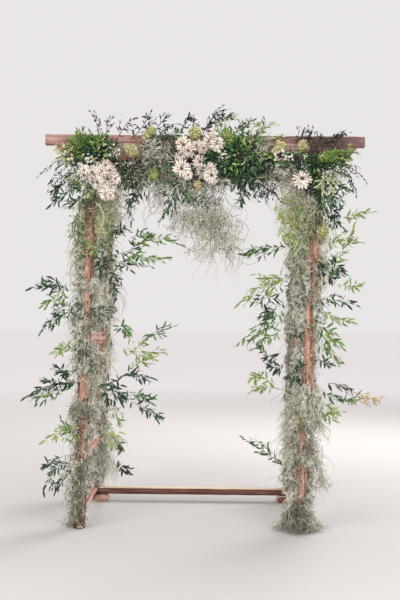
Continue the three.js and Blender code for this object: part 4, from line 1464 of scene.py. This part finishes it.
def add_moss_hang(shapes, rows, y, thickness, locks, length, tone, spread=0.13):
    """Moss that hangs in wisps from places: rows of x, z, half width, half height and share."""
    rows = np.array(rows_of(rows))
    place = rows[rng.choice(len(rows), locks, p=rows[:, 4] / rows[:, 4].sum())]
    x = place[:, 0] + np.clip(rng.normal(0, 0.5, locks), -1.1, 1.1) * place[:, 2]
    z = place[:, 1] + rng.uniform(-1, 1, locks) * place[:, 3]
    roots = xyz(x, y + rng.uniform(-1, 1, locks) * thickness, z)
    heading = random_unit(locks) * 0.7 - UP * 0.8
    tones = tone + 0.16 * waves(x * 25 + z * 12, 77, 5, 0.5, 2)
    half = locks // 2
    near = roots[:half], heading[:half], 8, rng.uniform(0.05, 0.1, half), tones[:half]
    add_locks(shapes, *near, 0.016, 0.95, 0.06, 4, 0.6, spread)
    far = roots[half:], heading[half:], 6, rng.uniform(*length, locks - half), tones[half:]
    add_locks(shapes, *far, 0.012, 0.72, 0.24, 7, 0.6, spread)


def add_moss_cloud(shapes, place, half, locks, tone, cores=0, down=0.4):
    """Curly moss that fills an ellipsoid."""
    inside = random_unit(locks) * rng.uniform(0, 1, locks)[:, None] ** 0.45
    roots = np.array(place) + inside * np.array(half)
    heading = inside * 0.7 + random_unit(locks) * 0.6 - UP * down
    add_locks(shapes, roots, heading, 8, rng.uniform(0.045, 0.09, locks), tone)
    if cores:
        inside = random_unit(cores) * rng.uniform(0, 0.75, cores)[:, None]
        halves = np.array(half) * rng.uniform(0.22, 0.45, (cores, 1))
        add_tangle(shapes, np.array(place) + inside * np.array(half) * 0.75, halves)


MOSS_ROWS = {  # z, left x, right x and the share of the pole's front that is covered
    "front_left": """
    2.05,-.8,-.69,.45 1.93,-.825,-.69,.45 1.77,-.86,-.69,.45 1.7,-.86,-.69,.2 1.62,-.85,-.69,.15
    1.53,-.825,-.66,.4 1.49,-.835,-.64,.85 1.4,-.845,-.62,.6 1.28,-.84,-.6,.65 1.12,-.82,-.6,.7
    1,-.8,-.61,.6 .935,-.79,-.64,.5 .88,-.78,-.68,.3 .79,-.78,-.68,.3 .755,-.81,-.64,.9
    .71,-.835,-.62,1 .68,-.81,-.63,.9 .64,-.79,-.66,.4 .46,-.795,-.69,.35 .42,-.815,-.67,.6
    .37,-.84,-.66,.85 .28,-.835,-.67,.95 .18,-.815,-.69,.95 .11,-.795,-.7,.6 .03,-.785,-.71,.45""",
    "front_right": """
    2.1,.56,.68,.3 1.97,.565,.73,.35 1.86,.575,.755,.4 1.79,.58,.775,.35 1.7,.585,.76,.15
    1.64,.58,.76,.35 1.6,.57,.755,.5 1.5,.56,.745,.45 1.38,.57,.735,.3 1.26,.575,.72,.3
    1.22,.58,.7,.2 1.07,.58,.695,.1 .9,.57,.695,.15 .865,.53,.73,.9 .78,.51,.755,.95
    .69,.51,.745,.95 .63,.51,.73,.7 .59,.51,.72,.4 .48,.51,.725,.4 .44,.51,.735,1 .4,.515,.735,1
    .38,.52,.72,.3 .24,.52,.69,.25 .2,.52,.68,.6 .14,.52,.68,.85 .07,.5,.7,.95 0,.48,.72,.95""",
    "rear_left": """
    2.24,-.79,-.62,.9 2.1,-.775,-.63,.9 1.91,-.77,-.665,.95 1.72,-.77,-.66,.95
    1.6,-.775,-.63,.95 1.48,-.775,-.6,1 1.33,-.785,-.585,.95 1.22,-.79,-.635,.9
    1.07,-.795,-.655,.9 .92,-.8,-.69,.95 .78,-.81,-.695,1 .7,-.815,-.675,1 .6,-.815,-.67,1
    .52,-.82,-.665,1 .42,-.82,-.67,1 .31,-.82,-.68,1 .2,-.825,-.695,1 .06,-.83,-.71,1""",
    "rear_right": """
    2.22,.585,.77,.9 1.95,.588,.76,.95 1.8,.588,.757,1 1.6,.585,.75,1 1.44,.582,.745,1
    1.3,.584,.74,.95 1.15,.584,.735,.95 .95,.584,.73,1 .82,.585,.725,1 .65,.585,.715,1
    .5,.588,.705,1 .35,.588,.695,1 .2,.588,.69,1 .08,.59,.68,1""",
}
COLUMNS = {  # foot, top, locks below and above, and seed
    "front_left": (0.03, 2.05, 345, 270, 811),
    "front_right": (0.01, 2.1, 325, 280, 821),
    "rear_left": (0.07, 2.24, 180, 160, 831),
    "rear_right": (0.08, 2.22, 170, 160, 841),
}
FINENESS = {"front": (64, 0.0082, 0.56), "rear": (40, 0.014, 0.48)}  # points round, spacing, fill
NETS = {  # low and high end, and how many locks cross there
    ("front_left", "upper"): "1.72,2.04,84 1.53,1.7,8 1.45,1.53,26 1.2,1.45,46",
    ("front_left", "lower"): ".94,1.19,36 .74,.93,46 .42,.69,70 .01,.15,38",
    ("front_right", "upper"): "1.8,2.06,24 1.64,1.82,12 1.4,1.66,96 1.24,1.4,12 1.2,1.24,6",
    ("front_right", "lower"): ".88,1.19,22 .39,.48,20 .46,.61,40 .12,.4,44",
}
columns = {}
for pole, (foot, top, below, above, seed) in COLUMNS.items():
    runs = ("upper", SPLIT - OVERLAP, top, above), ("lower", foot, SPLIT + OVERLAP, below)
    for run, low, high, locks in runs:
        shapes = columns[pole, run] = Shapes()
        fineness = FINENESS[pole.split("_")[0]]
        add_moss_column(shapes, pole, rows_of(MOSS_ROWS[pole]), low, high, locks, *fineness, seed)
        for low, high, count in rows_of(NETS.get((pole, run), "")):
            add_net(shapes, pole, low, high, int(count))

# Dark moss locks as painted shade where the shade is deep: run, x, z, half width, half height,
# locks.
SHADE = {
    "front_left": """lower -.75 .715 .05 .035 26
        lower -.745 .24 .035 .13 36
        lower -.735 .31 .022 .07 34""",
    "front_right": """upper .714 1.95 .014 .1 30
        upper .6 1.5 .006 .12 14
        lower .598 1.08 .005 .1 6
        lower .62 .64 .03 .03 14
        lower .655 .5 .01 .05 8""",
}
for pole, text in SHADE.items():
    for run, *numbers in lines_of(text):
        x, z, half_x, half_z, count = map(float, numbers)
        count = int(count)
        centre = np.array([x, FRONT_Y - pole_at(pole, z)[1] - 0.035, z])
        roots = centre + rng.uniform(-1, 1, (count, 3)) * [half_x, 0.01, half_z]
        heading = random_unit(count) * 0.8 - UP * 0.6
        add_locks(columns[pole, run], roots, heading, 6, 0.04, 0.06, 0.008, 0.9, 0.1)

# Wisps that hang below the thick moss of the left rear pole.
x, z = rng.uniform(-0.71, -0.62, 34), rng.uniform(0.24, 0.5, 34)
roots = xyz(x, REAR_Y + rng.uniform(-0.05, 0.04, 34), z)
heading = random_unit(34) * 0.5 - UP
add_locks(columns["rear_left", "lower"], roots, heading, 6, 0.15, 0.6, 0.014, 0.55, 0.2, 6)

# A branch of wisps that hangs off the right front pole.
right_foot = columns["front_right", "lower"]
along = rng.uniform(0, 1, 26)
roots = xyz(0.67 + 0.09 * along, FRONT_Y + rng.uniform(-0.04, 0.03, 26), 0.46 - 0.18 * along)
heading = random_unit(26) * 0.4 + [0.5, 0, -0.8]
add_locks(right_foot, roots, heading, 6, 0.085, 0.5, 0.012, 0.7, 0.16, 5)

# The heap at the right foot: moss that has slid down the pole and spread on the ground.
bearing, fall = rng.uniform(0, TURN, 120), rng.uniform(0, 1, 120)
spread = (0.03 + 0.085 * fall**2.2) * (1 + 0.25 * np.sin(2 * bearing + 0.6) * fall)
heap_x, heap_y = MOUNTS["front_right_foot"][0] - 0.012, FRONT_Y - 0.015
forward = np.where(np.sin(bearing) < 0, 1.2, 0.85)
roots = xyz(
    heap_x + np.cos(bearing) * spread * 1.15,
    heap_y + np.sin(bearing) * spread * forward,
    0.17 * (1 - fall) ** 1.5 + 0.02,
)
heading = xyz(np.cos(bearing), np.sin(bearing), 0.0) * 0.9 - UP * 0.8
shade = 0.46 - 0.42 * np.exp(-(((roots[:, 0] - heap_x) / 0.04) ** 2))
add_locks(right_foot, roots, heading, 8, 0.08, shade, 0.014, 0.7, 0.2, clear=0.0)
core_sizes = np.full((12, 3), 0.018) * [1.4, 1.2, 0.9]
add_tangle(right_foot, roots[::10] * [1, 1, 0.6], core_sizes, 0.1)
for (pole, run), shapes in columns.items():
    shapes.piece(f"{pole}_{run}_moss_strands", MOSS_SET, "moss", f"{pole}_{run}_moss")

CURTAINS = {  # depth, thickness, range of lengths, and the places, locks and tone of each layer
    "middle": (HEADER_FACE + 0.01, 0.045, (0.1, 0.26), [
        ("-.04,2.18,.15,.05,3 -.06,2.08,.14,.06,2 .04,2.06,.09,.07,2", 85, 0.22),
        ("-.3,2.13,.05,.06,1 -.3,2.02,.03,.07,1", 16, 0.2),
        ("""-.02,1.93,.19,.07,3 .08,1.88,.14,.08,3 .14,1.78,.08,.07,2 -.02,1.78,.1,.07,1
            -.15,1.91,.08,.07,1.5""", 154, 0.54),
    ]),
    "left": (FRONT_Y + 0.03, 0.045, (0.08, 0.18), [
        ("-.56,2.2,.12,.08,3 -.6,2.02,.1,.1,3 -.62,1.88,.08,.06,1.5", 110, 0.55),
    ]),
    "right": (FRONT_Y + 0.01, 0.05, (0.08, 0.18), [
        (".56,2.16,.12,.08,3 .57,2.02,.11,.1,3 .57,1.88,.1,.08,2.4", 130, 0.76),
    ]),
}
for group, (y, thickness, length, layers) in CURTAINS.items():
    curtain = Shapes()
    for places, locks, tone in layers:
        add_moss_hang(curtain, places, y, thickness, locks, length, tone, 0.24)
    curtain.piece(f"{group}_moss_wisps", MOSS_SET, "moss", f"{group}_moss_curtain")

header_moss = Shapes()
rear_face = box_of("rear_header_board")[0][1]
for x in np.arange(-0.6, 0.64, 0.12):
    place = (x, rear_face - 0.005, 2.35 + rng.uniform(-0.02, 0.02))
    add_moss_cloud(header_moss, place, (0.09, 0.05, 0.075), 11, 0.42, 2, 0.8)
header_moss.piece("rear_header_moss_strands", MOSS_SET, "moss", "rear_header_moss")

garland_moss = {group: Shapes() for group in GROUPS}


def add_clouds(group, text):
    """Each word: x, depth, z, half sizes, locks, tone and number of cores of a cloud of moss."""
    for word in text.split():
        x, y, z, *half, locks, tone, cores = word.split(",")
        place, half = (float(x), depth_of(y), float(z)), [float(size) for size in half]
        add_moss_cloud(garland_moss[group], place, half, int(locks), float(tone), int(cores))


HANG_PLACES = "-.4,2.18,.16,.07,3 -.25,2.16,.12,.06,2 .3,2.18,.14,.06,1.4"
add_moss_hang(garland_moss["middle"], HANG_PLACES, HEADER_FACE - 0.02, 0.03, 70, (0.07, 0.2), 0.4)
add_clouds("middle", "-.27,-.04,2.31,.12,.035,.1,34,.36,8 -.27,-.05,2.31,.12,.035,.1,30,.8,0")
grow(greenery["middle"], "small k -.27,2.31 .12,.1 80 .022,.009 0 0")
add_clouds("middle", ".35,-.04,2.32,.07,.03,.09,28,.42,3")
PAINTED_SHADE_CLOUD = (0.06, 0.025, 0.04)  # half sizes of the dark clouds under the header, which are painted shade below it
for x in np.arange(-0.38, 0.4, 0.07):
    add_moss_cloud(garland_moss["middle"], (x, HEADER_FACE + 0.015, 2.21), PAINTED_SHADE_CLOUD, 5, 0.12)
for x in (0.45, 0.52, 0.6):
    add_moss_cloud(garland_moss["right"], (x, HEADER_FACE + 0.015, 2.21), PAINTED_SHADE_CLOUD, 7, 0.15)
LEFT_CLOUDS = """-.48,-.025,2.17,.12,.03,.07,26,.2,4 -.51,-.05,2.33,.09,.02,.04,8,.4,0
    -.705,f-.075,2.1,.035,.015,.07,26,.4,0 -.8,-.03,2.16,.07,.03,.09,10,.5,0"""
add_clouds("left", LEFT_CLOUDS)
add_clouds("right", ".5,-.03,2.18,.11,.03,.08,42,.42,5 .8,-.03,2.2,.07,.03,.07,14,.4,0")
for group, shapes in garland_moss.items():
    shapes.piece(f"{group}_garland_moss", MOSS_SET, "moss", f"{group}_header_garland")
for group, shapes in greenery.items():
    shapes.piece(f"{group}_garland_greenery", GREEN_SET, "greenery", f"{group}_header_garland")


# ---- sprays tucked into the moss ----

LEFT_OUTER = """
d -84,140 -94,147 -105,147
b -83,141 -91,140 -99,136
d -83,144 -90,149 -98,152
m -83,132 -91,128 -100,120
m -81,137 -87,135 -90,132
d -74,98 -84,96 -89,99
d -75,88 -90,88 -109,80
m -76,85 -94,83 -101,77
d -78,91 -87,88 -98,90
y -78,109 -85,111 -92,108
y -76,60 -84,61 -96,54
m -77,54 -81,59 -87,66
d -80,39 -88,37 -96,24
d -79,36 -86,30 -89,23
d -83,45 -91,41 -96,38
"""
LEFT_INNER = """
d -64,166 -50,163 -33,161
d -61,167 -46,171 -44,174
b -55,163 -39,166 -22,166
b -46,172 -30,178 -14,174
m -47,178 -38,181 -33,180
d -64,174 -57,184 -52,183
y -66,198 -74,192 -76,186
b -52,126 -48,122 -46,117
m -39,117 -30,120 -19,124
y -50,108 -37,108 -24,108
y -48,104 -40,112 -34,117
d -52,92 -41,94 -31,92
y -48,96 -38,102 -32,105
d -58,91 -53,84 -46,79
m -50,86 -38,80 -31,80
d -46,78 -33,72 -26,68
y -56,79 -53,71 -51,64
m -55,54 -51,51 -50,48
d -52,41 -49,36 -45,35
d -64,161 -56,152 -54,142
d -68,140 -63,135 -57,136
"""
RIGHT_OUTER = """
y 74,162 84,169 93,188
y 85,192 93,194 104,196
y 77,169 82,178 95,177
b 74,161 80,160 85,162
d 75,158 80,155 81,156
y 82,151 90,150 95,150
d 70,141 81,141 95,138
y 73,135 82,130 91,128
b 70,126 78,120 86,112
b 70,114 78,109 85,104
d 70,107 74,103 84,103
b 69,123 75,117 78,109
m 72,87 83,80 94,83
d 76,90 84,89 91,85
o 88,79 97,81 109,82
y 73,79 78,75 85,73
y 73,73 77,70 80,68
"""
RIGHT_INNER = """
m 54,174 41,174 25,170
b 39,174 32,171 26,168
y 53,153 38,149 22,139
y 53,156 44,154 32,157
m 52,147 41,143 32,140
d 52,141 44,135 36,130
m 51,131 42,131 37,128
b 51,127 36,124 21,113
b 50,123 41,118 32,111
d 50,110 42,106 34,112
d 50,102 45,99 40,103
y 50,85 40,87 30,84
y 47,88 36,93 33,92
m 51,37 41,46 26,55
"""
# Leaves among the moss: kind, tone, x and z, half width and height in centimetres, count, droop.
LEFT_ACCENTS = """
    lance,m,-77,203,4,8,14,.9 lance,b,-66,173,4,3,10,.3 small,m,-79,186,4,10,40,.6
    small,d,-53,182,7,3,30,.1 lance,d,-63,161,2,6,16,.6 small,m,-76,172,3,8,30,.4
    small,d,-62,132,6,5,46,.5 small,d,-81,134,4,8,40,.5 lance,m,-49,123,3,2,8,.3
    small,d,-65,99,4,4,24,.5 lance,d,-54,84,6,8,40,.4 lance,y,-54,57,4,6,14,.5
    small,y,-80,57,5,5,26,.4 small,d,-74,120,5,20,60,.5 small,d,-62,168,4,9,70,.6
"""
RIGHT_ACCENTS = """
    small,d,79,192,4,6,60,.9 lance,d,79,159,6,6,34,.4 small,d,57,121,5,3,30,.4
    lance,d,56,99,4,7,26,.5 small,m,60,180,6,12,50,.6 small,m,70,128,4,12,40,.5
    lance,y,55,196,3,8,16,.7 small,y,62,66,5,6,30,.5 small,d,56,150,5,14,50,.5
"""
ROOT_SPLIT = 119  # the height in centimetres that parts the upper sprays from the lower
POLE_SPRAYS = [
    ("left_outer", LEFT_OUTER, FRONT_Y - 0.02, ""),
    ("left_inner", LEFT_INNER, FRONT_Y + 0.02, LEFT_ACCENTS),
    ("right_outer", RIGHT_OUTER, FRONT_Y - 0.02, ""),
    ("right_inner", RIGHT_INNER, FRONT_Y + 0.02, RIGHT_ACCENTS),
]
for place, sprays, y, accents in POLE_SPRAYS:
    upper, lower = Shapes(), Shapes()
    for tone, points in read_sprays(sprays):
        target = upper if points[0][1] > ROOT_SPLIT else lower
        depth = y + rng.uniform(-0.03, 0.03)
        add_spray(target, "lance", tone, points, depth, rng.uniform(-0.02, 0.05))
    for accent in accents.split():
        kind, tone, *numbers = accent.split(",")
        x, z, half_x, half_z, count, hang = map(float, numbers)
        centre, half = (x / 100, z / 100), (half_x / 100, half_z / 100)
        leaf = SPRAY_KINDS[kind][:2]
        target = upper if z > ROOT_SPLIT else lower
        add_patch(target, kind, tone, centre, half, int(count), *leaf, FRONT_Y - 0.01, hang)
    side = place.split("_")[0]
    for run, shapes in (("upper", upper), ("lower", lower)):
        name, node = f"front_{place}_{run}_sprays", f"front_{side}_{run}_moss"
        shapes.piece(name, GREEN_SET, "greenery", node)

# Curled green strands of moss beside the left pole, through places x,z in centimetres.
RIBBONS = [  # girth, tone and the places
    (0.0024, 1.0, "-67,200 -64,197 -62,193 -61.5,188 -63,184 -65,183"),
    (0.0042, 0.78, "-67.4,186 -65.5,183 -63.5,181.5 -61,181 -58,180"),
    (0.0022, 0.95, "-75,196 -76.5,193 -75.5,189 -73,187"),
]
ribbons = Shapes()
for girth, tone, line in RIBBONS:
    path = np.array([(x / 100, FRONT_Y - 0.075, z / 100) for x, z in rows_of(line)])
    known = np.arange(len(path))
    fine = np.linspace(0, len(path) - 1, 16)
    smooth = np.stack([np.interp(fine, known, path[:, k]) for k in range(3)], -1)
    smooth[:, 1] += 0.008 * np.sin(np.linspace(0, 5, 16))
    for shift in (-0.003, 0.0, 0.003):
        add_tubes(ribbons, (smooth + shift)[None], girth, tone, 0, 0.5)
ribbons.piece("left_moss_ribbons", [STEM], "moss", "front_left_upper_moss")

# ---- floor, light and camera ----

floor_mesh = bpy.data.meshes.new("floor")
corners = [(-400, -400, 0), (400, -400, 0), (400, 400, 0), (-400, 400, 0)]
floor_mesh.from_pydata(corners, [], [(0, 1, 2, 3)])
g = Graph("pale_floor")
length = g.node("VectorMath", {0: g.object_coords}, operation="LENGTH").outputs["Value"]
from_middle = g.mask(length, 1.0, 12.0)
g.set("Base Color", g.ramp(from_middle, "0,184,182,181 .5,222,219,218 1,252,249,249"))
g.set("Roughness", 0.9)
floor_mesh.materials.append(g.material)
floor = into_scene("floor", floor_mesh)
floor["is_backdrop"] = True

world = bpy.data.worlds.new("studio")
world.use_nodes = True
background = world.node_tree.nodes["Background"].inputs
background["Color"].default_value = srgb(252, 248, 248)
background["Strength"].default_value = 0.84
bpy.context.scene.world = world
bpy.context.scene.view_settings.view_transform = "Standard"


def add_area(name, place, target, size, power, colour):
    light = bpy.data.lights.new(name, "AREA")
    light.energy, light.size, light.color = power, size, colour
    made = into_scene(name, light)
    made.location = place
    toward = Matrix.Translation(place).inverted() @ Matrix.Translation(target)
    made.rotation_mode = "QUATERNION"
    made.rotation_quaternion = toward.to_translation().to_track_quat("-Z", "Y")
    made.visible_camera = False


add_area("key", (-3.2, -4.2, 4.6), (0, 0, 1.3), 3.5, 170, (1.0, 0.98, 0.95))
add_area("fill", (2.4, -6.0, 3.4), (0, 0, 1.2), 4.0, 190, (1.0, 1.0, 1.0))
add_area("back", (2.6, 3.6, 4.8), (0, 0, 1.4), 3.0, 260, (1.0, 0.97, 0.94))

camera = bpy.data.cameras.new("camera")
camera.sensor_fit = "VERTICAL"
camera.sensor_height = 36.0
camera.lens = 50.0
viewer = into_scene("camera", camera)
turn = Matrix.Translation(EYE)
for degrees, axis in ((0.35, "Z"), (92.06, "X"), (0.55, "Z")):  # aim, tilt and roll
    turn = turn @ Matrix.Rotation(math.radians(degrees), 4, axis)
viewer.matrix_world = turn
bpy.context.scene.camera = viewer

low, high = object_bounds()
